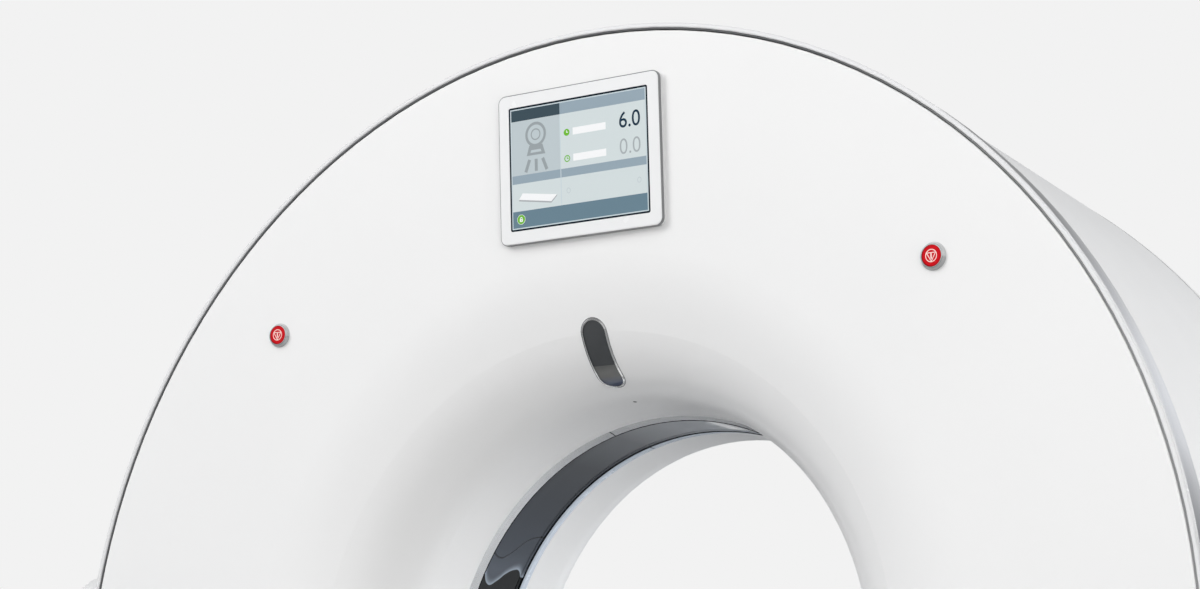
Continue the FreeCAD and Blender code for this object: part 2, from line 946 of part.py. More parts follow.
for word, side in SIDES:
    vent_place = place_of(vent_circle, size.rear_depth, 0, turn_of("1; 0; 0", -90))
    vent_turn = turned(90 - side * size.fan_angle)
    vents = new_sketch(rear_cover, "XY_Plane", vent_turn + " * " + vent_place)
    for number in range(vent_count):
        rise = size.vent_pitch * (number - (vent_count - 1) / 2)
        pill(vents, size.vent_length / 2 - size.vent_half_width, size.vent_half_width, rise)
    pocket_through(rear_cover, vents)
keep(rear_cover, "rear_cover")

# Display


def flat_at(edge, height):
    box = edge.BoundBox
    return abs(box.ZMin - height.value) < 0.001 and abs(box.ZMax - height.value) < 0.001


def outside_screen(edge):
    middle = edge.CenterOfMass
    beyond_height = abs(middle.x) > (size.screen_height.value + size.display_height.value) / 4
    beyond_width = abs(middle.y) > (size.screen_width.value + size.display_width.value) / 4
    return beyond_height or beyond_width


display_bezel = new_body("display_bezel", AXIS + " * " + display_spot)
bezel_front = place_of(0, 0, size.display_proud)
bezel_outline = new_sketch(display_bezel, "XY_Plane", bezel_front)
rounded_rectangle(
    bezel_outline, size.display_height / 2, size.display_width / 2, size.display_corner
)
extrude(display_bezel, bezel_outline, size.display_thick, backwards=True)
screen_seat = new_sketch(display_bezel, "XY_Plane", bezel_front)
rounded_rectangle(
    screen_seat,
    size.screen_height / 2 + size.fit_gap,
    size.screen_width / 2 + size.fit_gap,
    size.edge_round,
)
seat_depth = size.screen_thick + size.screen_recess
seated = extrude(display_bezel, screen_seat, seat_depth, "PartDesign::Pocket")
doc.recompute()
round_edges(
    display_bezel,
    seated,
    lambda edge: flat_at(edge, size.display_proud) and outside_screen(edge),
    size.display_edge,
)
keep(display_bezel, "display_bezel")

display_screen = new_body("display_screen", AXIS + " * " + display_spot)
glass = new_sketch(
    display_screen, "XY_Plane", place_of(0, 0, size.display_proud - size.screen_recess)
)
rounded_rectangle(glass, size.screen_height / 2, size.screen_width / 2, size.edge_round - size.fit_gap)
extrude(display_screen, glass, size.screen_thick, backwards=True)
keep(display_screen, "display_screen")

# Laser lens and microphone



def follow_skin(label, outlines, above, below):
    """A pill-shaped piece cut to the curve of the front skin, between two offsets from it."""
    high_shoulder, high_flare, high_throat = skin(-above)[:3]
    low_shoulder, low_flare, low_throat = skin(below)[:3]
    layer = new_body(label + "_layer", AXIS)
    revolve(
        layer,
        [
            (*high_shoulder, size.shoulder_radius + above, -1),
            (*high_flare, size.flare_radius + above, -1),
            high_throat,
            (*low_throat, size.flare_radius - below, 1),
            (*low_flare, size.shoulder_radius - below, 1),
            low_shoulder,
        ],
    )
    tube = new_body(label + "_tube", AXIS + " * " + lens_spot)
    section = new_sketch(tube, "XY_Plane")
    for half_width in outlines:
        pill(section, size.lens_pitch / 2, half_width)
    extrude(tube, section, size.lens_frame_depth * PASS, symmetric=True)
    piece = doc.addObject("Part::Common", label)
    piece.Base = tube
    piece.Tool = layer
    keep(piece, label)


follow_skin(
    "lens_frame",
    [frame_half_width, size.lens_half_width],
    size.lens_frame_proud,
    size.lens_frame_depth,
)
follow_skin(
    "laser_lens",
    [size.lens_half_width - size.fit_gap],
    -size.lens_recess,
    size.lens_recess + size.lens_thick,
)

microphone = post(
    "microphone_port",
    AXIS + " * " + microphone_spot + " * " + place_of(0, 0, -size.microphone_length),
    size.microphone_radius,
    size.microphone_length,
)
keep(microphone, "microphone_port")

# Stop buttons

barrel_end = size.button_proud - size.button_length - size.button_travel - size.button_end_gap
for word, side in SIDES:
    place = AXIS + " * " + button_spot(side)
    bezel = new_body(f"stop_bezel_{word}", place)
    bezel_inner = size.button_cap_radius + size.fit_gap
    revolve(
        bezel,
        [
            (0, barrel_end - size.bezel_floor),
            (size.bezel_barrel, barrel_end - size.bezel_floor),
            (size.bezel_barrel, size.fit_gap),
            (size.bezel_radius, size.fit_gap),
            (size.bezel_radius, size.bezel_foot),
            (size.bezel_top_radius, size.bezel_proud - size.bezel_round, size.bezel_round, 1),
            (size.bezel_top_radius - size.bezel_round, size.bezel_proud),
            (bezel_inner, size.bezel_proud),
            (bezel_inner, barrel_end),
            (0, barrel_end),
        ],
        plane="XZ_Plane",
    )
    keep(bezel, f"stop_bezel_{word}")
    cap = new_body(f"stop_button_{word}", place)
    cap_round = size.button_round
    revolve(
        cap,
        [
            (0, size.button_proud - size.button_length),
            (size.button_cap_radius, size.button_proud - size.button_length),
            (size.button_cap_radius, size.button_proud - cap_round, cap_round, 1),
            (size.button_cap_radius - cap_round, size.button_proud),
            (0, size.button_proud),
        ],
        plane="XZ_Plane",
    )
    keep(cap, f"stop_button_{word}")

# Cover frame and stationary ring

hoop_front = flange_end + size.fit_gap
hoop_outer = band_inner - size.fit_gap
cover_frame = new_body("cover_frame", AXIS)
revolve(
    cover_frame,
    [
        (hoop_inner, hoop_front),
        (hoop_outer, hoop_front),
        (hoop_outer, hoop_front + size.hoop_thick),
        (hoop_inner, hoop_front + size.hoop_thick),
    ],
)
strut_place = place_of(0, frame_front, 0, turn_of("1; 0; 0", 90))
strut_section = new_sketch(cover_frame, "XY_Plane", strut_place)
strut_angle = 180 / size.strut_count
circle(
    strut_section,
    strut_circle * cosine(strut_angle),
    strut_circle * sine(strut_angle),
    size.strut_radius,
)
strut = extrude(cover_frame, strut_section, frame_front - hoop_front - size.hoop_thick / 2)
pattern(cover_frame, [strut], "Y_Axis", size.strut_count)
keep(cover_frame, "cover_frame")

frame_outer = shell_inner(frame_front + size.frame_rim_depth) - size.fit_gap
gantry_frame = new_body("gantry_frame", AXIS)
revolve(
    gantry_frame,
    [
        (frame_bore, frame_front),
        (frame_outer, frame_front),
        (frame_outer, frame_front + size.frame_rim_depth),
        (frame_outer - size.frame_rim_width, frame_front + size.frame_rim_depth),
        (frame_outer - size.frame_rim_width, frame_back),
        (frame_bore + size.frame_boss_width, frame_back),
        (frame_bore + size.frame_boss_width, frame_front + size.frame_boss_depth),
        (frame_bore, frame_front + size.frame_boss_depth),
    ],
)
frame_hole_place = place_of(0, 0, 0, turn_of("1; 0; 0", 90))
frame_hole = new_sketch(gantry_frame, "XY_Plane", frame_hole_place)
circle(
    frame_hole,
    frame_hole_circle * cosine(size.fan_angle),
    frame_hole_circle * sine(size.fan_angle),
    size.frame_hole_radius,
)
frame_hole_cut = pocket_through(gantry_frame, frame_hole)
pattern(gantry_frame, [frame_hole_cut], "Y_Axis", size.frame_hole_count)
motor_hole = new_sketch(gantry_frame, "XY_Plane", frame_hole_place)
motor_u = motor_circle * cosine(size.motor_angle)
motor_v = -motor_circle * sine(size.motor_angle)
circle(motor_hole, motor_u, motor_v, size.motor_hole_radius)
pocket_through(gantry_frame, motor_hole)
keep(gantry_frame, "gantry_frame")

arm_reach = shell_inner(frame_front)
arm_corner = root(arm_reach * arm_reach - size.arm_half_height * size.arm_half_height)
arm_outer = arm_corner - size.arm_gap
arm_inner = arm_outer - size.arm_thick
shaft_end = gear_offset + size.gear_width + size.shaft_overhang
for word, side in SIDES:
    label = f"trunnion_{word}"
    trunnion = new_body(label, AXIS)
    arm_face = new_sketch(trunnion, "YZ_Plane", place_of(0, 0, side * arm_inner))
    half = size.arm_half_height
    outline(
        arm_face,
        [
            (frame_front, half),
            (0, half, half, 1),
            (-half, 0, half, 1),
            (0, -half),
            (frame_front, -half),
        ],
    )
    extrude(trunnion, arm_face, size.arm_thick, backwards=side < 0)
    hub_face = new_sketch(trunnion, "YZ_Plane", place_of(0, 0, side * arm_inner))
    circle(hub_face, 0, 0, size.trunnion_hub_radius)
    extrude(trunnion, hub_face, stand_inner - size.hub_gap - arm_inner, backwards=side < 0)
    shaft_face = new_sketch(trunnion, "YZ_Plane", place_of(0, 0, side * arm_inner))
    circle(shaft_face, 0, 0, size.trunnion_radius)
    extrude(trunnion, shaft_face, shaft_end - arm_inner, backwards=side < 0)
    keep(trunnion, label)

# Main bearing

ring("bearing_inner_race", race_inner, race_split, disc_back, disc_back + size.race_depth)
ring(
    "bearing_outer_race",
    race_split + size.running_gap,
    race_outer,
    disc_back + size.race_step,
    frame_front,
)

# Rotor

rotor_disc = new_body("rotor_disc", AXIS)
revolve(
    rotor_disc,
    [
        (disc_bore, size.disc_front),
        (disc_radius, size.disc_front),
        (disc_radius, disc_back),
        (disc_bore, disc_back),
    ],
)
disc_hole = new_sketch(rotor_disc, "XY_Plane", frame_hole_place)
circle(disc_hole, disc_hole_circle, 0, size.disc_hole_radius)
disc_hole_cut = pocket_through(rotor_disc, disc_hole)
pattern(rotor_disc, [disc_hole_cut], "Y_Axis", size.disc_hole_count)
keep(rotor_disc, "rotor_disc")

rim_inner = pulley_rim_radius - size.pulley_rim_wall
ring("pulley_rim", rim_inner, pulley_rim_radius, disc_back, disc_back + size.pulley_rim_width)

# Slip ring: a hub tube that passes through the frame, and a platter with ring tracks
slip_back = slip_front + size.slip_thick
track_profile = []
for number in range(SIZES["slip_track_count"]):
    outer = slip_radius - size.slip_track - number * (size.slip_track + size.slip_groove)
    groove_floor = slip_back - size.slip_groove_depth
    inner = outer - size.slip_groove
    track_profile += [(outer, slip_back), (outer, groove_floor), (inner, groove_floor), (inner, slip_back)]
slip_inner = slip_hub_radius - size.slip_hub_wall
slip_ring = new_body("slip_ring", AXIS)
revolve(
    slip_ring,
    [
        (slip_inner, disc_back),
        (slip_hub_radius, disc_back),
        (slip_hub_radius, slip_front),
        (slip_radius, slip_front),
        (slip_radius, slip_back),
        *track_profile,
        (slip_inner, slip_back),
    ],
)
keep(slip_ring, "slip_ring")

# X-ray tube: a turned housing on its flange, with two cable sockets
tube_front = size.disc_front - size.tube_length
flange_front = size.disc_front - size.tube_flange_thick
xray_tube = new_body("xray_tube", place_of(0, 0, size.iso_height + tube_height))
revolve(
    xray_tube,
    [
        (0, tube_front),
        (size.tube_nose_radius, tube_front),
        (size.tube_nose_shoulder, tube_front + size.tube_nose_step),
        (size.tube_radius, tube_front + size.tube_nose_step * 2),
        (size.tube_radius, flange_front),
        (size.tube_flange, flange_front),
        (size.tube_flange, size.disc_front),
        (0, size.disc_front),
    ],
)
sockets = new_sketch(xray_tube, "XY_Plane")
circle(sockets, 0, size.disc_front - size.socket_near, size.socket_radius)
circle(sockets, 0, size.disc_front - size.socket_far, size.socket_radius)
extrude(xray_tube, sockets, size.socket_length)
keep(xray_tube, "xray_tube")

# Collimator: a box with a fan-shaped slot for the beam
half_width = size.collimator_width / 2
collimator_box = block(
    "collimator_box",
    (-half_width, half_width),
    (size.disc_front - size.collimator_depth, size.disc_front),
    (size.iso_height + collimator_bottom, size.iso_height + collimator_top),
)
slot_half = size.collimator_slot / 2
beam_slot = block(
    "beam_slot",
    (-slot_half, slot_half),
    (-size.collimator_slit / 2, size.collimator_slit / 2),
    (
        size.iso_height + collimator_bottom - OVERRUN,
        size.iso_height + collimator_top + OVERRUN,
    ),
)
keep(cut("collimator", collimator_box, beam_slot), "collimator")

# Detector: an arc struck from the focal spot, with modules along its inner face
focus = place_of(0, 0, size.iso_height + focus_height)
detector_arc = new_body("detector_arc", focus + " * " + turned(-90))
revolve(
    detector_arc,
    [
        (detector_radius, -size.detector_front),
        (detector_outer, -size.detector_front),
        (detector_outer, size.disc_front),
        (detector_radius, size.disc_front),
    ],
    angle=size.detector_angle,
)
keep(detector_arc, "detector_arc")

modules = []
module_step = size.detector_angle / size.module_count
for number in range(SIZES["module_count"]):
    module = doc.addObject("Part::Box", f"module_{number + 1}")
    module.setExpression("Length", size.module_thick.formula)
    module.setExpression("Width", size.module_length.formula)
    module.setExpression("Height", size.module_width.formula)
    angle = -90 - size.detector_angle / 2 + (number + 0.5) * module_step
    inner_face = root(
        detector_radius * detector_radius - size.module_width * size.module_width / 4
    )
    seat = place_of(inner_face - size.module_thick, -size.module_length / 2, -size.module_width / 2)
    module.setExpression("Placement", focus + " * " + turned(angle) + " * " + seat)
    modules.append(module)
keep(group("detector_modules", modules), "detector_modules")

# High-voltage generator on one side, heat exchanger on the other
generator_z = (
    size.iso_height - size.generator_half_height,
    size.iso_height + size.generator_half_height,
)
generator_y = (-size.generator_front, size.disc_front)
generator_outer = root(
    rotor_reach * rotor_reach - size.generator_half_height * size.generator_half_height
)
generator_block = block(
    "generator_block", (-generator_outer, -size.generator_inner), generator_y, generator_z
)
keep(generator_block, "high_voltage_generator")

exchanger_block = block(
    "exchanger_block", (size.generator_inner, generator_outer), generator_y, generator_z
)
fin_gaps = []
fin_pitch = size.generator_half_height * 2 / (size.fin_count + 1)
for number in range(1, SIZES["fin_count"] + 1):
    low = size.iso_height - size.generator_half_height + number * fin_pitch - size.fin_gap / 2
    fin_gaps.append(
        block(
            f"fin_gap_{number}",
            (size.generator_inner - OVERRUN, generator_outer + OVERRUN),
            (-size.generator_front - OVERRUN, -size.generator_front + size.fin_depth),
            (low, low + size.fin_gap),
        )
    )
keep(cut("heat_exchanger", exchanger_block, fuse("fin_gaps", fin_gaps)), "heat_exchanger")

half_fan = size.detector_angle / 2
detector_end_x = detector_outer * sine(half_fan)
detector_end_z = focus_height - detector_outer * cosine(half_fan)
detector_end = root(detector_end_x * detector_end_x + detector_end_z * detector_end_z)
weight_inner = detector_end + size.weight_gap
weights = [
    segment(
        f"counterweight_{word}",
        -90 + side * (90 - size.weight_angle),
        size.weight_span,
        weight_inner,
        rotor_reach,
        -size.weight_front,
        size.disc_front,
    )
    for word, side in SIDES
]
keep(group("counterweights", weights), "counterweights")
for label, side, front in (
    ("data_unit", -1, size.data_unit_front),
    ("rotor_power_unit", 1, size.power_unit_front),
):
    unit = segment(
        label,
        90 - side * (90 - size.unit_angle),
        size.unit_span,
        size.unit_inner,
        rotor_reach,
        -front,
        size.disc_front,
    )
    keep(unit, label)

# Belt drive

belt_middle = disc_back + size.pulley_rim_width / 2
belt_front = belt_middle - size.belt_width / 2
motor_line = AXIS + " * " + turned(-size.motor_angle)


def belt_loop(sketch, extra):
    """The belt's path round both pulleys, this far outside them; local X points at the motor."""
    big = pulley_rim_radius + extra
    small = size.motor_pulley_radius + extra
    gap = motor_circle
    wrap = arc_cosine((big - small) / gap)
    outline(
        sketch,
        [
            (big * cosine(wrap), big * sine(wrap), big, 1),
            (0, big, big, 1),
            (-big, 0, big, 1),
            (0, -big, big, 1),
            (big * cosine(wrap), -big * sine(wrap)),
            (gap + small * cosine(wrap), -small * sine(wrap), small, 1),
            (gap + small, 0, small, 1),
            (gap + small * cosine(wrap), small * sine(wrap)),
        ],
    )


drive_belt = new_body("drive_belt", motor_line + " * " + place_of(0, 0, 0, turn_of("1; 0; 0", 90)))
belt_sketch = new_sketch(drive_belt, "XY_Plane", place_of(0, 0, -belt_front))
belt_loop(belt_sketch, size.fit_gap + size.belt_thick)
belt_loop(belt_sketch, size.fit_gap)
extrude(drive_belt, belt_sketch, size.belt_width, backwards=True)
keep(drive_belt, "drive_belt")

motor_place = motor_line + " * " + place_of(motor_circle, 0, 0)
motor_pulley = new_body("motor_pulley", motor_place)
shaft_tip = frame_back + size.motor_shaft_depth
revolve(
    motor_pulley,
    [
        (0, disc_back + size.race_step),
        (size.motor_pulley_radius, disc_back + size.race_step),
        (size.motor_pulley_radius, frame_front - size.race_step),
        (size.motor_shaft_radius, frame_front - size.race_step),
        (size.motor_shaft_radius, shaft_tip),
        (0, shaft_tip),
    ],
)
keep(motor_pulley, "motor_pulley")

drive_motor = new_body("drive_motor", motor_place)
motor_bore = size.motor_shaft_radius + size.running_gap
motor_back = frame_back + size.motor_length
revolve(
    drive_motor,
    [
        (motor_bore, frame_back),
        (size.motor_radius, frame_back),
        (size.motor_radius, motor_back - size.motor_chamfer),
        (size.motor_radius - size.motor_chamfer, motor_back),
        (0, motor_back),
        (0, shaft_tip + size.shaft_end_gap),
        (motor_bore, shaft_tip + size.shaft_end_gap),
    ],
)
keep(drive_motor, "drive_motor")

# Brush block: stands on the frame's back and reaches in to the slip ring's rim
brush_block = doc.addObject("Part::Box", "brush_block")
brush_block.setExpression("Length", size.brush_height.formula)
brush_block.setExpression("Width", (slip_back - frame_back).formula)
brush_block.setExpression("Height", size.brush_width.formula)
brush_inner = slip_radius + size.fit_gap
brush_seat = place_of(brush_inner, frame_back, -size.brush_width / 2)
brush_block.setExpression("Placement", AXIS + " * " + turned(size.brush_angle) + " * " + brush_seat)
keep(brush_block, "brush_block")

# Cooling fans

fan_frames = []
fan_places = []
for word, side in SIDES:
    upright = place_of(frame_hole_circle, frame_back, 0, turn_of("1; 0; 0", -90))
    fan_place = AXIS + " * " + turned(90 - side * size.fan_angle) + " * " + upright
    frame = new_body(f"fan_frame_{word}", fan_place)
    outer_face = new_sketch(frame, "XY_Plane")
    rounded_rectangle(outer_face, size.fan_size / 2, size.fan_size / 2, size.display_corner)
    circle(outer_face, 0, 0, size.fan_bore)
    extrude(frame, outer_face, size.fan_depth)
    arm_sketch = new_sketch(frame, "XY_Plane")
    arm_half = size.fan_arm / 2
    reach = size.fan_bore + OVERRUN
    outline(arm_sketch, [(-reach, -arm_half), (reach, -arm_half), (reach, arm_half), (-reach, arm_half)])
    arm = extrude(frame, arm_sketch, size.fan_arm / 2)
    pattern(frame, [arm], "Z_Axis", 2, 90)
    hub_sketch = new_sketch(frame, "XY_Plane")
    circle(hub_sketch, 0, 0, size.fan_hub)
    extrude(frame, hub_sketch, size.fan_arm)
    pin_sketch = new_sketch(frame, "XY_Plane")
    circle(pin_sketch, 0, 0, size.fan_arm / 2)
    extrude(frame, pin_sketch, size.fan_pin_length)
    fan_frames.append(frame)
    fan_places.append(fan_place)
keep(group("fan_frames", fan_frames), "fan_frames")

impeller_low = size.fan_arm + size.shaft_end_gap
impeller_high = size.fan_depth - size.fan_front_gap
pin_pocket_end = size.fan_pin_length + size.shaft_end_gap
for (word, side), fan_place in zip(SIDES, fan_places):
    impeller = new_body(f"fan_impeller_{word}", fan_place)
    hub_outline = [
        (size.fan_arm / 2 + size.running_gap, impeller_low),
        (size.fan_hub, impeller_low),
        (size.fan_hub, impeller_high),
        (0, impeller_high),
        (0, pin_pocket_end),
        (size.fan_arm / 2 + size.running_gap, pin_pocket_end),
    ]
    revolve(impeller, hub_outline, plane="XZ_Plane")
    blade_turn = turn_of("0; 1; 0", 90) + " * " + turn_of("0; 0; 1", size.fan_blade_pitch)
    blade_start = size.fan_hub - size.fan_blade_root
    blade_place = place_of(blade_start, 0, (impeller_low + impeller_high) / 2, blade_turn)
    blade_sketch = new_sketch(impeller, "XY_Plane", blade_place)
    chord = size.fan_blade_chord / 2
    thick = size.fan_blade_thick / 2
    outline(blade_sketch, [(-chord, -thick), (chord, -thick), (chord, thick), (-chord, thick)])
    blade = extrude(impeller, blade_sketch, size.fan_bore - size.fan_tip_gap - blade_start)
    pattern(impeller, [blade], "Z_Axis", size.fan_blade_count)
    keep(impeller, f"fan_impeller_{word}")

# Floor frame

bars = []
for word, side in SIDES:
    near, far = side * beam_inner, side * beam_outer
    across = (near, far) if side > 0 else (far, near)
    bars.append(
        block(
            f"beam_{word}",
            across,
            (-size.beam_half_length, size.beam_half_length),
            (size.beam_bottom, size.beam_top),
        )
    )
    bars.append(
        block(
            f"anchor_tab_{word}",
            across,
            (-tab_half_length, tab_half_length),
            (size.beam_bottom, size.beam_bottom + size.tab_thick),
        )
    )
for word, side in (("front", -1), ("back", 1)):
    near, far = side * cross_front, side * cross_back
    along = (near, far) if side > 0 else (far, near)
    bars.append(
        block(
            f"cross_beam_{word}",
            (-beam_inner - OVERRUN, beam_inner + OVERRUN),
            along,
            (size.beam_bottom, size.cross_top),
        )
    )
anchor_holes = []
levelling_feet = []
beam_line = beam_inner + size.beam_width / 2
for word, side in SIDES:
    for far_word, far_side in (("front", -1), ("back", 1)):
        anchor_place = place_of(
            side * beam_line, far_side * anchor_half_spacing, size.beam_bottom - OVERRUN
        )
        anchor_depth = size.tab_thick + OVERRUN * 2
        anchor_holes.append(
            post(f"anchor_{word}_{far_word}", anchor_place, size.anchor_radius, anchor_depth)
        )
        foot_y = far_side * foot_spacing
        pad = post(
            f"pad_{word}_{far_word}",
            place_of(side * beam_line, foot_y, 0),
            size.foot_radius,
            size.foot_thick,
        )
        stud = post(
            f"stud_{word}_{far_word}",
            place_of(side * beam_line, foot_y, size.foot_thick / 2),
            size.foot_stud_radius,
            size.beam_bottom - size.foot_thick / 2,
        )
        levelling_feet.append(fuse(f"foot_{word}_{far_word}", [pad, stud]))
keep(cut("base_frame", fuse("base_bars", bars), fuse("anchor_tools", anchor_holes)), "base_frame")
keep(group("leveling_feet", levelling_feet), "leveling_feet")

# Side stands

top_plate = size.iso_height - size.post_top_drop
cross_bar = size.iso_height - size.cross_bar_drop
cross_bar_top = cross_bar + size.post_plate
gear_centre = size.gear_module * (size.sector_teeth + size.pinion_teeth) / 2
pinion_height = size.iso_height - gear_centre


def mirrored(side, low, high):
    """Limits along X on one side of the machine."""
    return (low, high) if side > 0 else (-high, -low)


for word, side in SIDES:
    across = mirrored(side, post_inner, post_outer)
    bars = [
        block(f"post_front_{word}", across, (-post_back, -post_front), (size.beam_top, top_plate)),
        block(f"post_back_{word}", across, (post_front, post_back), (size.beam_top, top_plate)),
        block(
            f"top_plate_{word}",
            across,
            (-post_back, post_back),
            (top_plate - size.post_plate, top_plate),
        ),
        block(
            f"foot_plate_{word}",
            across,
            (-post_foot, post_foot),
            (size.beam_top, size.beam_top + size.post_plate),
        ),
        block(
            f"cross_bar_{word}",
            across,
            (-post_back, post_back),
            (cross_bar, cross_bar_top),
        ),
    ]
    keep(fuse(f"stand_frame_{word}", bars), f"stand_frame_{word}")

    housing = new_body(f"trunnion_bearing_{word}", AXIS)
    bearing_start = (post_inner + post_outer - size.bearing_length) / 2
    face = new_sketch(housing, "YZ_Plane", place_of(0, 0, side * bearing_start))
    half, rise = size.bearing_half_width, size.bearing_round
    outline(
        face,
        [
            (half, -size.post_top_drop),
            (half, 0),
            (rise, 0, rise, 1),
            (0, rise, rise, 1),
            (-rise, 0),
            (-half, 0),
            (-half, -size.post_top_drop),
        ],
    )
    circle(face, 0, 0, size.trunnion_radius + size.running_gap)
    extrude(housing, face, size.bearing_length, backwards=side < 0)
    keep(housing, f"trunnion_bearing_{word}")

    cover = new_body(f"stand_cover_{word}", place_of(0, 0, 0, turn_of("0; 0; 1", 90 - side * 90)))
    cover_foot = foot_cover_top + size.fit_gap
    cover_top = size.iso_height + size.stand_top
    side_face = new_sketch(cover, "YZ_Plane", place_of(0, 0, stand_inner))
    deep, wide, bend = size.stand_half_depth, size.stand_foot_half_depth, size.stand_corner
    outline(
        side_face,
        [
            (-wide, cover_foot),
            (wide, cover_foot),
            (deep, cover_top - bend, bend, 1),
            (deep - bend, cover_top),
            (-(deep - bend), cover_top, bend, 1),
            (-deep, cover_top - bend),
        ],
    )
    stand_body = extrude(cover, side_face, size.stand_width)
    doc.recompute()
    outer_x = (stand_inner + size.stand_width).value
    soft_edge = round_edges(
        cover,
        stand_body,
        lambda edge: edge.BoundBox.XMin > outer_x - 0.001 and edge.BoundBox.ZMax > cover_foot.value + OVERRUN,
        size.stand_edge,
    )
    doc.recompute()
    bottom_face = [
        f"Face{number}"
        for number, face in enumerate(soft_edge.Shape.Faces, start=1)
        if face.BoundBox.ZMax < cover_foot.value + 0.001
    ]
    hollow = cover.newObject("PartDesign::Thickness", f"stand_hollow_{word}")
    hollow.Base = (soft_edge, bottom_face)
    hollow.Reversed = True
    hollow.setExpression("Value", size.cover_wall.formula)
    doc.recompute()
    shaft_hole = new_sketch(cover, "YZ_Plane", place_of(0, 0, stand_inner))
    circle(shaft_hole, 0, size.iso_height, size.trunnion_radius + size.shaft_hole_gap)
    extrude(cover, shaft_hole, size.cover_wall * PASS, "PartDesign::Pocket", symmetric=True)
    keep(cover, f"stand_cover_{word}")

# Tilt drive


def add_gear_teeth(body, offset, teeth, shown, lean, width):
    """Straight-flanked teeth about the body's X axis, the first one leant from local Y."""
    module = size.gear_module
    pitch_radius = module * teeth / 2
    half_pitch_width = module * math.pi / 4 * (1 - size.gear_backlash)
    tip = module * size.gear_addendum
    foot = module * size.gear_dedendum
    slope = tangent(size.pressure_angle)
    face = new_sketch(
        body, "YZ_Plane", place_of(0, 0, offset, turn_of("0; 0; 1", lean))
    )
    outline(
        face,
        [
            (pitch_radius - foot, -half_pitch_width - foot * slope),
            (pitch_radius + tip, -half_pitch_width + tip * slope),
            (pitch_radius + tip, half_pitch_width - tip * slope),
            (pitch_radius - foot, half_pitch_width + foot * slope),
        ],
    )
    tooth = extrude(body, face, width)
    span = 360 / teeth * (shown - 1)
    full = shown.value == teeth.value
    pattern(body, [tooth], "X_Axis", shown, 360 if full else span)


def gear_body_radius(teeth):
    """Radius of the body that carries the teeth."""
    return size.gear_module * (teeth / 2 - size.gear_body_drop)


gear_left = -(gear_offset + size.gear_width)
sector_span = 360 / size.sector_teeth * (size.sector_shown - 1)
sector = new_body("tilt_sector_gear", AXIS)
sector_root = gear_body_radius(size.sector_teeth)
sector_half = sector_span / 2 + size.sector_margin
wedge = new_sketch(sector, "YZ_Plane", place_of(0, 0, gear_left))
outline(
    wedge,
    [
        (0, size.sector_hub / 2),
        (-sector_root * sine(sector_half), -sector_root * cosine(sector_half), sector_root, 1),
        (sector_root * sine(sector_half), -sector_root * cosine(sector_half)),
    ],
)
extrude(sector, wedge, size.gear_width)
sector_boss = new_sketch(sector, "YZ_Plane", place_of(0, 0, gear_left))
circle(sector_boss, 0, 0, size.sector_hub)
extrude(sector, sector_boss, size.gear_width)
add_gear_teeth(
    sector,
    gear_left,
    size.sector_teeth,
    size.sector_shown,
    -QUARTER_TURN - sector_span / 2,
    size.gear_width,
)
sector_bore = new_sketch(sector, "YZ_Plane", place_of(0, 0, gear_left))
circle(sector_bore, 0, 0, size.trunnion_radius + size.running_gap)
pocket_through(sector, sector_bore)
keep(sector, "tilt_sector_gear")

pinion = new_body("tilt_pinion", place_of(0, 0, pinion_height))
pinion_root = gear_body_radius(size.pinion_teeth)
pinion_face = new_sketch(pinion, "YZ_Plane", place_of(0, 0, gear_left))
circle(pinion_face, 0, 0, pinion_root)
extrude(pinion, pinion_face, size.gear_width)
add_gear_teeth(
    pinion,
    gear_left,
    size.pinion_teeth,
    size.pinion_teeth,
    QUARTER_TURN + 180 / size.pinion_teeth,
    size.gear_width,
)
pinion_shaft = new_sketch(pinion, "YZ_Plane", place_of(0, 0, gear_left))
circle(pinion_shaft, 0, 0, size.pinion_shaft_radius)
extrude(pinion, pinion_shaft, size.gear_width + size.pinion_shaft_length)
keep(pinion, "tilt_pinion")

gearbox_x = (-post_outer, -post_inner)
gearbox_bottom = pinion_height - size.gearbox_height / 2
gearbox = block(
    "gearbox_case",
    gearbox_x,
    (-size.gearbox_half_width, size.gearbox_half_width),
    (gearbox_bottom, gearbox_bottom + size.gearbox_height),
)
motor_x = -(post_inner + post_outer) / 2
tilt_motor = post(
    "tilt_motor",
    place_of(motor_x, 0, cross_bar_top),
    size.tilt_motor_radius,
    gearbox_bottom - cross_bar_top + OVERRUN,
)
shaft_turn = turn_of("0; 1; 0", 90)
shaft_inside = size.pinion_shaft_length - (gear_offset - post_outer)
shaft_bore_depth = shaft_inside + size.shaft_end_gap + OVERRUN
shaft_bore = post(
    "gearbox_bore",
    place_of(-post_outer - OVERRUN, 0, pinion_height, shaft_turn),
    size.pinion_shaft_radius + size.running_gap,
    shaft_bore_depth,
)
keep(cut("tilt_gearmotor", fuse("gearmotor_case", [gearbox, tilt_motor]), shaft_bore), "tilt_gearmotor")

# Power box in the right stand

power_box = block(
    "power_box_case",
    (post_inner, post_outer - size.power_side_gap),
    (-(post_front - size.power_post_gap), post_front - size.power_post_gap),
    (cross_bar_top, top_plate - size.post_plate - size.power_top_gap),
)
keep(power_box, "power_box")

# Base covers


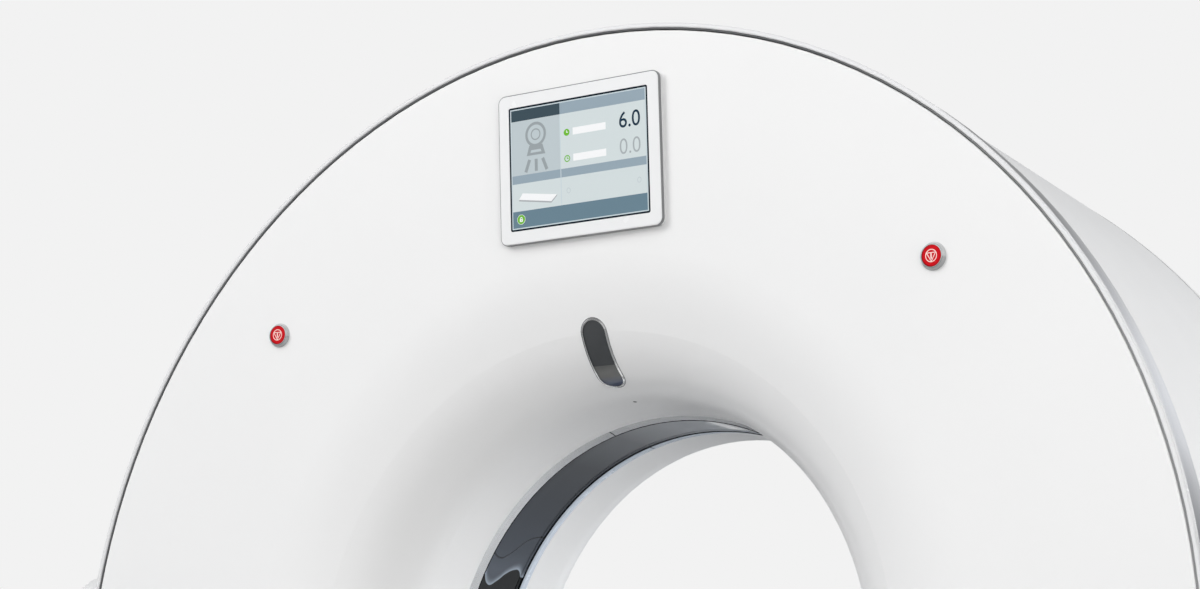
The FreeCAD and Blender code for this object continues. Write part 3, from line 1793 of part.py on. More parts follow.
def open_box(label, x, y, low, high, corner, place=None):
    """A cover open at the bottom, between limits on X and Y."""
    half_x, half_y = (x[1] - x[0]) / 2, (y[1] - y[0]) / 2
    middle_x, middle_y = (x[0] + x[1]) / 2, (y[0] + y[1]) / 2
    body = new_body(label, place)
    top_face = new_sketch(body, "XY_Plane", place_of(middle_x, middle_y, high))
    rounded_rectangle(top_face, half_x, half_y, corner)
    extrude(body, top_face, high - low, backwards=True)
    inside = new_sketch(body, "XY_Plane", place_of(middle_x, middle_y, high - size.foot_cover_wall))
    rounded_rectangle(
        inside,
        half_x - size.foot_cover_wall,
        half_y - size.foot_cover_wall,
        corner - size.foot_cover_wall,
    )
    extrude(body, inside, high - low, "PartDesign::Pocket")
    return body


for word, side in SIDES:
    label = f"foot_cover_{word}"
    cover = open_box(
        label,
        (foot_cover_inner, foot_cover_outer),
        (-foot_cover_half_length, foot_cover_half_length),
        size.foot_cover_bottom,
        foot_cover_top,
        size.foot_cover_corner,
        place_of(0, 0, 0, turn_of("0; 0; 1", 90 - side * 90)),
    )
    frame_hole = new_sketch(
        cover,
        "XY_Plane",
        place_of((post_inner + post_outer) / 2, 0, foot_cover_top),
    )
    rounded_rectangle(
        frame_hole,
        (post_outer - post_inner) / 2 + size.post_gap,
        post_foot + size.post_foot_gap,
        size.edge_round,
    )
    extrude(cover, frame_hole, size.foot_cover_wall * PASS, "PartDesign::Pocket", symmetric=True)
    for far_side in (-1, 1):
        cross_hole = new_sketch(
            cover,
            "YZ_Plane",
            place_of(far_side * (cross_front + cross_back) / 2, 0, foot_cover_inner),
        )
        half_cross = (cross_back - cross_front) / 2 + size.cross_gap
        top_of_cross = size.cross_top + size.cross_gap
        outline(
            cross_hole,
            [
                (half_cross, size.foot_cover_bottom - OVERRUN),
                (half_cross, top_of_cross),
                (-half_cross, top_of_cross),
                (-half_cross, size.foot_cover_bottom - OVERRUN),
            ],
        )
        extrude(cover, cross_hole, size.foot_cover_wall * PASS, "PartDesign::Pocket", symmetric=True)
    for far_side in (-1, 1):
        tab_hole = new_sketch(
            cover, "XZ_Plane", place_of(beam_line, 0, far_side * foot_cover_half_length)
        )
        half_tab = size.beam_width / 2 + size.tab_gap
        tab_top = size.beam_bottom + size.tab_thick + size.tab_gap
        outline(
            tab_hole,
            [
                (-half_tab, size.foot_cover_bottom - OVERRUN),
                (half_tab, size.foot_cover_bottom - OVERRUN),
                (half_tab, tab_top),
                (-half_tab, tab_top),
            ],
        )
        extrude(cover, tab_hole, size.foot_cover_wall * PASS, "PartDesign::Pocket", symmetric=True)
    keep(cover, label)

plinth_reach = foot_cover_inner - size.fit_gap
for word, side in (("front", -1), ("rear", 1)):
    near, far = side * plinth_front, side * plinth_back
    label = f"plinth_cover_{word}"
    cover = open_box(
        label,
        (-plinth_reach, plinth_reach),
        (near, far) if side > 0 else (far, near),
        size.foot_cover_bottom,
        plinth_top,
        size.plinth_corner,
    )
    for end in (-1, 1):
        end_hole = new_sketch(
            cover,
            "YZ_Plane",
            place_of(side * (cross_front + cross_back) / 2, 0, end * plinth_reach),
        )
        outline(
            end_hole,
            [
                (half_cross, size.foot_cover_bottom - OVERRUN),
                (half_cross, top_of_cross),
                (-half_cross, top_of_cross),
                (-half_cross, size.foot_cover_bottom - OVERRUN),
            ],
        )
        extrude(cover, end_hole, size.foot_cover_wall * PASS, "PartDesign::Pocket", symmetric=True)
    keep(cover, label)

# Check and write

doc.recompute()
faults = []
for thing in doc.Objects:
    if "Invalid" in thing.State or "Error" in thing.State:
        faults.append(f"{thing.Name}: {thing.State}")
for node in nodes:
    if node.Shape.isNull() or not node.Shape.isValid() or not node.Shape.Solids:
        faults.append(f"{node.Label}: no valid solid")
if faults:
    raise SystemExit("\n".join(faults))

for node in nodes:
    node.Shape.exportStep(f"parts/{node.Label}.step")
print(f"{len(nodes)} nodes written")
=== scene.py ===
import json
import math

import bmesh
import bpy
from mathutils import Matrix, Vector


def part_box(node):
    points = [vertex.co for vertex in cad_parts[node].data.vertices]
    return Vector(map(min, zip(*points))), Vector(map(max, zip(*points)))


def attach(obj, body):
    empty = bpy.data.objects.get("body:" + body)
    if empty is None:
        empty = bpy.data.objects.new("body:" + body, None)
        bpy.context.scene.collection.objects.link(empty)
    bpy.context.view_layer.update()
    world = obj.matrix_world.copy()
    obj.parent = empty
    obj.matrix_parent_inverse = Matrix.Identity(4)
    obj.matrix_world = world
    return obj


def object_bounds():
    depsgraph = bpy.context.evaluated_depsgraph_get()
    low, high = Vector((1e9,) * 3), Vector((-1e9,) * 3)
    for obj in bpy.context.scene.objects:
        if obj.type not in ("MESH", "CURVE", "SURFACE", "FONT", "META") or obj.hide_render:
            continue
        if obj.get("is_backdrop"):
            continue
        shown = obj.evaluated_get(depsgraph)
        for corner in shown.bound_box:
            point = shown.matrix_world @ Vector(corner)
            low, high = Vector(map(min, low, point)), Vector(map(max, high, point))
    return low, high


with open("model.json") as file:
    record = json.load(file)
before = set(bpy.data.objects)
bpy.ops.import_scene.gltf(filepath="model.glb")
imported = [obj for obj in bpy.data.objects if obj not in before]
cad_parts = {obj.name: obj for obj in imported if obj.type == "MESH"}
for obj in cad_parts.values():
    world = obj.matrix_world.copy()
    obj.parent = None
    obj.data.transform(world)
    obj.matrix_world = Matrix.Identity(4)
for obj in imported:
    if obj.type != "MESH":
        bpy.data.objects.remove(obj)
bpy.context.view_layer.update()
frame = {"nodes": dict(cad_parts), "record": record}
nodes = frame["nodes"]
print("frame loaded:", len(nodes), "nodes")

windowLow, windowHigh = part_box("scan_window")
boreHeight = (windowLow.z + windowHigh.z) / 2


def addObject(name, data):
    added = bpy.data.objects.new(name, data)
    bpy.context.scene.collection.objects.link(added)
    return added


def placed(right, up, normal, origin):
    return Matrix.Translation(origin) @ Matrix((right, up, normal)).transposed().to_4x4()


# Camera, at the photograph's viewing angle

photoCamera = {
    "place": (1.6967, -2.7026, 0.8041),
    "azimuth": 34.48,  # degrees from straight ahead, towards +X
    "elevation": -12.83,
    "roll": 1.725,
    "lens": 70.87,
    "farthest": 60,
}


def addCamera(name, look):
    around, lift, roll = (math.radians(look[key]) for key in ("azimuth", "elevation", "roll"))
    level = math.cos(lift)
    back = Vector((math.sin(around) * level, -math.cos(around) * level, math.sin(lift)))
    right = (-back).cross(Vector((0, 0, 1))).normalized()
    up = right.cross(-back)
    axisX = right * math.cos(roll) + up * math.sin(roll)
    axisY = up * math.cos(roll) - right * math.sin(roll)
    camera = addObject(name, bpy.data.cameras.new(name))
    camera.matrix_world = placed(axisX, axisY, back, look["place"])
    camera.data.sensor_fit = "HORIZONTAL"
    camera.data.lens = look["lens"]
    camera.data.clip_end = look["farthest"]
    return camera


bpy.context.scene.camera = addCamera("photoCamera", photoCamera)
print("camera placed")


# Node helpers


def addNode(tree, kind, inputs=None, **settings):
    node = tree.nodes.new(kind)
    for key, value in settings.items():
        setattr(node, key, value)
    for key, value in (inputs or {}).items():
        if isinstance(value, bpy.types.NodeSocket):
            tree.links.new(value, node.inputs[key])
        else:
            node.inputs[key].default_value = value
    return node


def newGroup(name, inputs, outputs, treeKind="ShaderNodeTree"):
    group = bpy.data.node_groups.new(name, treeKind)
    for label, kind, value in inputs:
        socket = group.interface.new_socket(label, in_out="INPUT", socket_type="NodeSocket" + kind)
        if value is not None:
            socket.default_value = value
    for label, kind in outputs:
        group.interface.new_socket(label, in_out="OUTPUT", socket_type="NodeSocket" + kind)
    return group, addNode(group, "NodeGroupInput").outputs


def endGroup(group, **results):
    addNode(group, "NodeGroupOutput", results)
    return group


def opaque(colour):
    return (*colour, 1)


def greyOf(tone):
    return (tone, tone, tone, 1)


black = greyOf(0)


def noise(tree, vector, scale, detail=2, rough=0.5):
    inputs = {"Vector": vector, "Scale": scale, "Detail": detail, "Roughness": rough}
    return addNode(tree, "ShaderNodeTexNoise", inputs).outputs["Fac"]


def remap(tree, value, fromLow, fromHigh, toLow=0, toHigh=1, **settings):
    names = ("Value", "From Min", "From Max", "To Min", "To Max")
    inputs = dict(zip(names, (value, fromLow, fromHigh, toLow, toHigh)))
    return addNode(tree, "ShaderNodeMapRange", inputs, **settings).outputs["Result"]


def blendColour(tree, factor, first, second):
    inputs = {0: factor, 6: first, 7: second}
    return addNode(tree, "ShaderNodeMix", inputs, data_type="RGBA").outputs[2]


def combine(tree, operation, first, second=0):
    return addNode(tree, "ShaderNodeMath", {0: first, 1: second}, operation=operation).outputs[0]


def product(tree, first, second):
    return combine(tree, "MULTIPLY", first, second)


def timesTint(tree, first, second):
    inputs = {0: first, 1: second}
    return addNode(tree, "ShaderNodeVectorMath", inputs, operation="MULTIPLY").outputs["Vector"]


def rampOf(tree, factor, stops):
    ramp = addNode(tree, "ShaderNodeValToRGB", {"Fac": factor})
    points = ramp.color_ramp.elements
    for index in (0, -1):
        points[index].position = stops[index][0]
        points[index].color = greyOf(stops[index][1])
    for place, value in stops[1:-1]:
        points.new(place).color = greyOf(value)
    return ramp.outputs["Color"]


def objectPoint(tree):
    return addNode(tree, "ShaderNodeTexCoord").outputs["Object"]


def axisOf(tree, point, axis):
    return addNode(tree, "ShaderNodeSeparateXYZ", {"Vector": point}).outputs[axis]


def fromBore(tree, point):
    # across and upwards from the bore axis
    height = combine(tree, "SUBTRACT", axisOf(tree, point, "Z"), boreHeight)
    return axisOf(tree, point, "X"), height


def boreAngle(tree, point):
    # degrees round the bore axis, from the +X side upwards
    across, height = fromBore(tree, point)
    return product(tree, combine(tree, "ARCTAN2", height, across), 180 / math.pi)


# Effects that several finishes share


def makeMouldedSkin():
    group, given = newGroup(
        "mouldedSkin",
        [
            ("Colour", "Color", (0.8, 0.8, 0.8, 1)),
            ("Shade", "Color", (0.75, 0.75, 0.75, 1)),
            ("Grain", "Float", 900),
            ("Smooth", "Float", 0.35),
            ("Rough", "Float", 0.45),
        ],
        [("Colour", "Color"), ("Roughness", "Float"), ("Height", "Float")],
    )
    point = objectPoint(group)
    cloud = remap(group, noise(group, point, 2.3, 3), 0.35, 0.65)
    wipe = remap(group, noise(group, point, 13, 4, 0.6), 0.3, 0.7)
    roughness = addNode(group, "ShaderNodeMix", {0: wipe, 2: given["Smooth"], 3: given["Rough"]})
    return endGroup(
        group,
        Colour=blendColour(group, cloud, given["Colour"], given["Shade"]),
        Roughness=roughness.outputs[0],
        Height=noise(group, point, given["Grain"], 2),
    )


def makeTurnedGrain():
    inputs = [("Fineness", "Float", 900), ("Length", "Float", 2)]
    group, given = newGroup("turnedGrain", inputs, [("Grain", "Float")])
    point = objectPoint(group)
    across, height = fromBore(group, point)
    squares = [product(group, side, side) for side in (across, height)]
    radius = combine(group, "SQRT", combine(group, "ADD", *squares))
    angle = combine(group, "ARCTAN2", height, across)
    inputs = {
        "X": product(group, radius, given["Fineness"]),
        "Y": product(group, axisOf(group, point, "Y"), given["Fineness"]),
        "Z": product(group, angle, given["Length"]),
    }
    along = addNode(group, "ShaderNodeCombineXYZ", inputs).outputs["Vector"]
    return endGroup(group, Grain=noise(group, along, 1, 3, 0.6))


def makeCastSkin():
    outputs = [("Height", "Float"), ("Mask", "Float")]
    group, given = newGroup("castSkin", [("Scale", "Float", 240)], outputs)
    point = objectPoint(group)
    pits = addNode(group, "ShaderNodeTexVoronoi", {"Vector": point, "Scale": given["Scale"]})
    depth = product(group, pits.outputs["Distance"], 0.5)
    sand = noise(group, point, product(group, given["Scale"], 2), 4, 0.65)
    return endGroup(
        group,
        Height=combine(group, "ADD", depth, sand),
        Mask=remap(group, noise(group, point, 9, 4, 0.6), 0.35, 0.7),
    )


def makeFloorScuff():
    inputs = [("Reach", "Float", 0.12), ("Amount", "Float", 0.4)]
    group, given = newGroup("floorScuff", inputs, [("Mask", "Float")])
    point = objectPoint(group)
    low = remap(group, axisOf(group, point, "Z"), 0, given["Reach"], given["Amount"], 0)
    strokes = addNode(group, "ShaderNodeMapping", {"Vector": point, "Scale": (9, 9, 60)})
    marks = remap(group, noise(group, strokes.outputs["Vector"], 1, 5, 0.7), 0.5, 0.72)
    return endGroup(group, Mask=product(group, low, marks))


mouldedSkin = makeMouldedSkin()
turnedGrain = makeTurnedGrain()
castSkin = makeCastSkin()
floorScuff = makeFloorScuff()
print("shared effects built")


# Finishes


def startMaterial(name, **fixed):
    material = bpy.data.materials.new(name)
    material.use_nodes = True
    shader = material.node_tree.nodes["Principled BSDF"]
    for label, value in fixed.items():
        shader.inputs[label.replace("_", " ")].default_value = value
    return material, material.node_tree, shader


def useGroup(tree, group, **inputs):
    node = addNode(tree, "ShaderNodeGroup", node_tree=group)
    for label, value in inputs.items():
        node.inputs[label].default_value = value
    return node.outputs


def dress(tree, shader, colour, rough, height=None, distance=0):
    tree.links.new(colour, shader.inputs["Base Color"])
    tree.links.new(rough, shader.inputs["Roughness"])
    if height is not None:
        bump = addNode(tree, "ShaderNodeBump", {"Height": height, "Distance": distance})
        tree.links.new(bump.outputs["Normal"], shader.inputs["Normal"])


plasticLooks = {
    "white_cover": dict(
        colour=(0.85, 0.849, 0.846), shade=(0.836, 0.836, 0.834), grain=1500, bump=0.00002,
        rough=(0.3, 0.38), coat=0.12,
        scuff=dict(reach=0.14, amount=0.35, colour=(0.42, 0.42, 0.41)),  # low on the floor covers
    ),
    "display_white": dict(
        colour=(0.82, 0.825, 0.83), shade=(0.81, 0.815, 0.82), grain=2600, bump=0.00001,
        rough=(0.22, 0.28), coat=0.2,
    ),
    "red_plastic": dict(
        colour=(0.60, 0.004, 0.010), shade=(0.54, 0.003, 0.008), grain=2600, bump=0.00001,
        rough=(0.34, 0.44), shine=0.15,
    ),
    "groove_grey": dict(
        colour=(0.12, 0.124, 0.128), shade=(0.105, 0.108, 0.112), grain=1100, bump=0.00003,
        rough=(0.5, 0.62),
        # the groove round the rim fills with light towards the right
        light=dict(start=0.35, end=0.75, share=0.8, colour=(0.34, 0.345, 0.35)),
    ),
    "skirt_grey": dict(
        colour=(0.20, 0.205, 0.21), shade=(0.18, 0.185, 0.19), grain=2200, bump=0.00001,
        rough=(0.3, 0.4), coat=0.1,
    ),
    "edge_blue": dict(
        colour=(0.66, 0.73, 0.82), shade=(0.63, 0.70, 0.79), grain=2200, bump=0.00001,
        rough=(0.2, 0.3), coat=0.3,
    ),
    "ring_silver": dict(
        colour=(0.76, 0.763, 0.77), shade=(0.74, 0.743, 0.75), grain=2600, bump=0.000005,
        rough=(0.2, 0.28), coat=0.4,
    ),
    "gap_black": dict(
        colour=(0.003, 0.004, 0.005), shade=(0.005, 0.006, 0.007), grain=900, bump=0.00002,
        rough=(0.7, 0.85), shine=0.05,
    ),
    "black_plastic": dict(
        colour=(0.025, 0.026, 0.028), shade=(0.04, 0.041, 0.043), grain=1300, bump=0.00004,
        rough=(0.42, 0.58),
    ),
    "black_rubber": dict(
        colour=(0.018, 0.018, 0.019), shade=(0.032, 0.032, 0.033), grain=900, bump=0.00005,
        rough=(0.6, 0.78),
    ),
    "track_plastic": dict(
        colour=(0.10, 0.085, 0.06), shade=(0.13, 0.11, 0.08), grain=1200, bump=0.00003,
        rough=(0.4, 0.5),
    ),
}


def plasticMaterial(name, look):
    coat, shine = look.get("coat", 0), look.get("shine", 0.5)
    smooth, rough = look["rough"]
    material, tree, shader = startMaterial(
        name, Coat_Weight=coat, Coat_Roughness=0.12, Specular_IOR_Level=shine
    )
    skin = useGroup(
        tree, mouldedSkin, Colour=opaque(look["colour"]), Shade=opaque(look["shade"]),
        Grain=look["grain"], Smooth=smooth, Rough=rough,
    )
    colour = skin["Colour"]
    if "scuff" in look:
        scuff = look["scuff"]
        marks = useGroup(tree, floorScuff, Reach=scuff["reach"], Amount=scuff["amount"])["Mask"]
        colour = blendColour(tree, marks, colour, opaque(scuff["colour"]))
    if "light" in look:
        light = look["light"]
        across = axisOf(tree, objectPoint(tree), "X")
        share = remap(tree, across, light["start"], light["end"], 0, light["share"])
        colour = blendColour(tree, share, colour, opaque(light["colour"]))
    dress(tree, shader, colour, skin["Roughness"], skin["Height"], look["bump"])
    return material


metalLooks = {
    "polished_metal": dict(
        colour=(0.88, 0.885, 0.89), dull=(0.82, 0.825, 0.83), fine=2200, long=3,
        rough=(0.16, 0.26), bump=0.000004,
    ),
    "satin_silver": dict(
        colour=(0.82, 0.84, 0.88), dull=(0.76, 0.78, 0.82), fine=1500, long=1.5,
        rough=(0.30, 0.40), bump=0.000008,
    ),
    "lens_rim": dict(
        colour=(0.98, 0.985, 0.99), dull=(0.94, 0.945, 0.95), fine=2200, long=3,
        rough=(0.12, 0.2), bump=0.000003,
    ),
    "dark_chrome": dict(
        colour=(0.78, 0.785, 0.79), dull=(0.72, 0.725, 0.73), fine=2200, long=3,
        rough=(0.12, 0.2), bump=0.000003,
    ),
    "machined_steel": dict(
        colour=(0.5, 0.5, 0.5), dull=(0.38, 0.38, 0.385), fine=1300, long=4,
        rough=(0.24, 0.4), bump=0.00002,
    ),
}


paintedBandReflection = {  # painted reflection: light and dark streaks across the turned band, by angle round the bore, in degrees
    "from": -60,
    "to": 120,
    "tones": (
        (0, 0.6), (0.25, 0.5), (0.36, 0.3), (0.385, 0.38), (0.405, 0.62), (0.425, 0.92),
        (0.445, 1), (0.47, 0.96), (0.49, 0.78), (0.52, 0.54), (0.55, 0.36), (0.7, 0.34),
        (1, 0.5),
    ),
}


paintedRimLight = {  # box of small bright rims, and their painted highlight and shade from its foot upwards
    "dark_chrome": (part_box("stop_bezel_left"), ((0, 0.5), (0.5, 0.8), (0.85, 1))),
    "lens_rim": (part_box("lens_frame"), ((0, 1), (0.18, 1), (0.4, 0.66), (1, 0.6))),
}


def metalMaterial(name, look):
    material, tree, shader = startMaterial(name, Metallic=1)
    grain = useGroup(tree, turnedGrain, Fineness=look["fine"], Length=look["long"])["Grain"]
    spread = remap(tree, grain, 0.3, 0.7)
    colour = blendColour(tree, spread, opaque(look["colour"]), opaque(look["dull"]))
    if name == "satin_silver":
        # painted reflection: light and dark streaks across the band, by angle round the bore
        angle = boreAngle(tree, objectPoint(tree))
        turn = remap(tree, angle, paintedBandReflection["from"], paintedBandReflection["to"])
        colour = blendColour(tree, rampOf(tree, turn, paintedBandReflection["tones"]), black, colour)
    if name in paintedRimLight:
        # painted highlight and shade: the rim lighter or darker from its foot to its top
        (low, high), tones = paintedRimLight[name]
        height = remap(tree, axisOf(tree, objectPoint(tree), "Z"), low.z, high.z)
        colour = blendColour(tree, rampOf(tree, height, tones), black, colour)
    rough = remap(tree, grain, 0.3, 0.7, *look["rough"])
    dress(tree, shader, colour, rough, grain, look["bump"])
    return material


coatedLooks = {
    "painted_frame": dict(
        colour=(0.30, 0.32, 0.34), worn=(0.24, 0.255, 0.27), scale=420, bump=0.00006,
        rough=(0.38, 0.52), metal=0,
    ),
    "cast_aluminium": dict(
        colour=(0.56, 0.565, 0.57), worn=(0.44, 0.445, 0.45), scale=300, bump=0.0001,
        rough=(0.42, 0.6), metal=1,
    ),
    "cast_iron": dict(
        colour=(0.11, 0.115, 0.12), worn=(0.07, 0.07, 0.072), scale=260, bump=0.00015,
        rough=(0.5, 0.68), metal=0.3,
    ),
    "drive_housing": dict(
        colour=(0.16, 0.175, 0.19), worn=(0.12, 0.13, 0.14), scale=380, bump=0.00006,
        rough=(0.4, 0.55), metal=0,
    ),
    "tube_housing": dict(
        colour=(0.46, 0.44, 0.38), worn=(0.36, 0.345, 0.3), scale=340, bump=0.00006,
        rough=(0.34, 0.5), metal=0,
    ),
}


def coatedMaterial(name, look):
    material, tree, shader = startMaterial(name, Metallic=look["metal"])
    skin = useGroup(tree, castSkin, Scale=look["scale"])
    colour = blendColour(tree, skin["Mask"], opaque(look["colour"]), opaque(look["worn"]))
    rough = remap(tree, skin["Mask"], 0, 1, *look["rough"])
    dress(tree, shader, colour, rough, skin["Height"], look["bump"])
    return material


glassLooks = {
    "screen": dict(colour=(0.018, 0.034, 0.045), rough=(0.2, 0.26), coat=0, wave=0.0001),
    "dark_window": dict(colour=(0.036, 0.043, 0.052), rough=(0.08, 0.12), coat=0.1, wave=0.0002),
    "dark_lens": dict(colour=(0.042, 0.045, 0.048), rough=(0.06, 0.1), coat=0.2, wave=0.0002),
}


lensFootLook = {
    "edge": 1.3956,  # height where the clear foot of the lens begins
    "soft": 0.0006,
    "blueEdge": 1.3835,
    "blueSoft": 0.006,
    "grey": (0.11, 0.112, 0.108),
    "blue": (0.055, 0.07, 0.115),
}


def lensClearFoot(tree, point, colour):
    height = axisOf(tree, point, "Z")
    look = lensFootLook
    foot = remap(tree, height, look["edge"] - look["soft"], look["edge"], 1, 0)
    tint = remap(tree, height, look["blueEdge"] - look["blueSoft"], look["blueEdge"], 1, 0)
    clear = blendColour(tree, tint, opaque(look["grey"]), opaque(look["blue"]))
    return blendColour(tree, foot, colour, clear)


paintedWindowReflectionLook = {
    # painted reflection: grey by angle round the bore, in degrees, lighter where the glass is seen
    # along its face
    "tones": (
        (58, 0.06), (72, 0.9), (84, 0.74), (91, 0.45), (99, 0.27), (107, 0.135), (120, 0.062),
        (132, 0.058), (138, 0.06), (147, 0.072), (152, 0.10), (170, 0.045),
    ),
    "tints": ((0.95, 1, 1.06), (0.86, 1, 1.24)),
    "tintTurn": (98, 145),
    "from": -0.041,
    "long": 0.082,
    # painted reflection: wavy edge of the dark patch and the thin line above it: share of the
    # depth, degrees from here
    "edgeTurn": 141,
    "patchEdge": (
        (0, 12.4), (0.22, 15.1), (0.4, 13.9), (0.57, 11.8),
        (0.76, 10.5), (0.88, 10.5), (1, 12),
    ),
    "lineEdge": (
        (0, 7.2), (0.25, 8.2), (0.4, 7.2), (0.52, 5.6), (0.6, 4.2), (0.72, 2.6), (1, 1.2),
    ),
    "line": (0.12, 0.3, 0.7, 0),  # degrees beside it where it fades, from this share to none
    "patch": (0.0015, 0.003, 0.004),
    "patchSoft": (-0.1, 0.15),
    "patchEnd": (166, 185),
    "rim": (0.34, 0.40, 0.47),
    "rimReach": 2.2,
    "rimFall": 2.5,
}


def curveOf(tree, factor, stops, tall=20):
    curve = addNode(tree, "ShaderNodeFloatCurve", {"Value": factor})
    points = curve.mapping.curves[0].points
    for place, value in stops[1:-1]:
        points.new(place, value / tall)
    points[0].location = (stops[0][0], stops[0][1] / tall)
    points[-1].location = (stops[-1][0], stops[-1][1] / tall)
    curve.mapping.update()
    return product(tree, curve.outputs["Value"], tall)


def paintedWindowReflection(tree, point):
    # bore window: painted reflections, soft and fixed in the colour of the smoked glass
    look = paintedWindowReflectionLook
    angle = boreAngle(tree, point)
    low, high = look["tones"][0][0], look["tones"][-1][0]
    stops = [((turn - low) / (high - low), tone) for turn, tone in look["tones"]]
    grey = rampOf(tree, remap(tree, angle, low, high), stops)
    turn = remap(tree, angle, *look["tintTurn"])
    tone = timesTint(tree, grey, blendColour(tree, turn, *map(opaque, look["tints"])))
    depth = remap(tree, axisOf(tree, point, "Y"), look["from"], look["from"] + look["long"])
    shifted = combine(tree, "SUBTRACT", angle, look["edgeTurn"])
    fade = remap(tree, angle, *look["patchEnd"], 1, 0)
    past = combine(tree, "SUBTRACT", shifted, curveOf(tree, depth, look["patchEdge"]))
    glow = combine(tree, "POWER", remap(tree, past, -look["rimReach"], 0), look["rimFall"])
    toLine = combine(tree, "SUBTRACT", shifted, curveOf(tree, depth, look["lineEdge"]))
    line = remap(tree, combine(tree, "ABSOLUTE", toLine), *look["line"])
    tone = blendColour(tree, line, tone, opaque(look["patch"]))
    tone = blendColour(tree, product(tree, glow, fade), tone, opaque(look["rim"]))
    inside = product(tree, remap(tree, past, *look["patchSoft"]), fade)
    return blendColour(tree, inside, tone, opaque(look["patch"]))


def glassMaterial(name, look):
    # dark sheet with the faint waviness of a moulded or rolled face
    material, tree, shader = startMaterial(name, Coat_Weight=look["coat"], Coat_Roughness=0.04)
    point = objectPoint(tree)
    haze = remap(tree, noise(tree, point, 16, 4, 0.6), 0.35, 0.7)
    lighter = tuple(1.25 * part for part in look["colour"])
    colour = blendColour(tree, haze, opaque(look["colour"]), opaque(lighter))
    if name == "dark_lens":
        colour = lensClearFoot(tree, point, colour)
    if name == "dark_window":
        # the glass colour carries a painted reflection
        colour = paintedWindowReflection(tree, point)
    rough = remap(tree, haze, 0, 1, *look["rough"])
    dress(tree, shader, colour, rough, noise(tree, point, 7, 1), look["wave"])
    return material


finishes = {}
for looks, make in (
    (plasticLooks, plasticMaterial),
    (metalLooks, metalMaterial),
    (coatedLooks, coatedMaterial),
    (glassLooks, glassMaterial),
):
    for slotName, look in looks.items():
        finishes[slotName] = make(slotName, look)

ownFinish = {
    "rim_ring": "ring_silver",
    "stop_bezel_left": "dark_chrome",
    "stop_bezel_right": "dark_chrome",
    "lens_frame": "lens_rim",
}
for part in frame["record"]["subparts"]:
    mesh = nodes[part["node"]].data
    mesh.materials.clear()
    mesh.materials.append(finishes[ownFinish.get(part["node"], part["material_slot"])])


# Pieces


def centreOf(name):
    low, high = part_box(name)
    return (low + high) / 2


def newPiece(name, mesh, material, body="gantry"):
    if not mesh.materials:
        mesh.materials.append(material)
    piece = addObject(name, mesh)
    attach(piece, body)


dishLean = math.radians(5.6)  # the straight part of the front skin leans back towards the bore


def dishFrame(angle):
    # directions on the dish: along the rim, away from the bore, out of the skin
    outward = Vector((math.cos(angle), 0, math.sin(angle)))
    normal = outward * -math.sin(dishLean) + Vector((0, -math.cos(dishLean), 0))
    away = outward * math.cos(dishLean) + Vector((0, -math.sin(dishLean), 0))
    return away.cross(normal), away, normal


# Flat drawings, in millimetres on their own sheet, each shape a little above the last level


def startDrawing():
    drawing = bmesh.new()
    drawing.loops.layers.float_color.new("ink")
    return drawing


def addShape(drawing, points, level, ink):
    corners = [drawing.verts.new((x / 1000, y / 1000, level / 1000)) for x, y in points]
    face = drawing.faces.new(corners)
    layer = drawing.loops.layers.float_color["ink"]
    for loop in face.loops:
        loop[layer] = opaque(ink)


def arcPoints(x, y, radius, start, end, steps):
    turns = [math.radians(start + (end - start) * step / steps) for step in range(steps + 1)]
    return [(x + radius * math.cos(turn), y + radius * math.sin(turn)) for turn in turns]


def roundedLoop(width, height, corner, steps=8):
    # the middle of each corner, with turns round it
    loop = []
    for sideX, sideY, start in ((1, -1, -90), (1, 1, 0), (-1, 1, 90), (-1, -1, 180)):
        middle = (sideX * (width / 2 - corner), sideY * (height / 2 - corner))
        for step in range(steps + 1):
            loop.append((*middle, math.radians(start + 90 * step / (steps or 1))))
    return loop


def addBox(drawing, x, y, width, height, level, ink, corner=0):
    points = [
        (x + u + corner * math.cos(turn), y + v + corner * math.sin(turn))
        for u, v, turn in roundedLoop(width, height, corner, 6 if corner else 0)
    ]
    addShape(drawing, points, level, ink)


def addDisc(drawing, x, y, radius, level, ink):
    addShape(drawing, arcPoints(x, y, radius, 0, 360, 40)[:-1], level, ink)


def addArc(drawing, x, y, radius, width, start, end, level, ink, stretch=1):
    steps = max(6, round(abs(end - start) / 7))
    outer = arcPoints(0, 0, radius + width / 2, start, end, steps)
    inner = arcPoints(0, 0, radius - width / 2, start, end, steps)
    squeeze = (radius * stretch + width / 2) / (radius + width / 2)
    for step in range(steps):
        corners = (outer[step], outer[step + 1], inner[step + 1], inner[step])
        addShape(drawing, [(x + u, y + v * squeeze) for u, v in corners], level, ink)


def addLine(drawing, start, end, width, level, ink):
    along = (Vector(end) - Vector(start)).normalized() * width / 2
    side = Vector((along.y, -along.x))
    corners = (Vector(start) + side, Vector(end) + side, Vector(end) - side, Vector(start) - side)
    addShape(drawing, [tuple(corner) for corner in corners], level, ink)


def plainMesh(holder):
    # what the object shows, as a mesh of its own
    shown = holder.evaluated_get(bpy.context.evaluated_depsgraph_get())
    mesh = bpy.data.meshes.new_from_object(shown)
    bpy.data.objects.remove(holder)
    return mesh


def addNumber(drawing, text, x, y, size, squeeze, thin, level, ink):
    curve = bpy.data.curves.new("number", "FONT")
    curve.body = text
    curve.size = size / 1000
    curve.offset = -thin / 1000
    curve.align_x = "CENTER"
    curve.align_y = "CENTER"
    mesh = plainMesh(addObject("number", curve))
    for polygon in mesh.polygons:
        corners = [mesh.vertices[index].co for index in polygon.vertices]
        if polygon.normal.z < 0:
            corners.reverse()
        points = [(x + 1000 * co.x * squeeze, y + 1000 * co.y) for co in corners]
        addShape(drawing, points, level, ink)
    bpy.data.curves.remove(curve)
    bpy.data.meshes.remove(mesh)


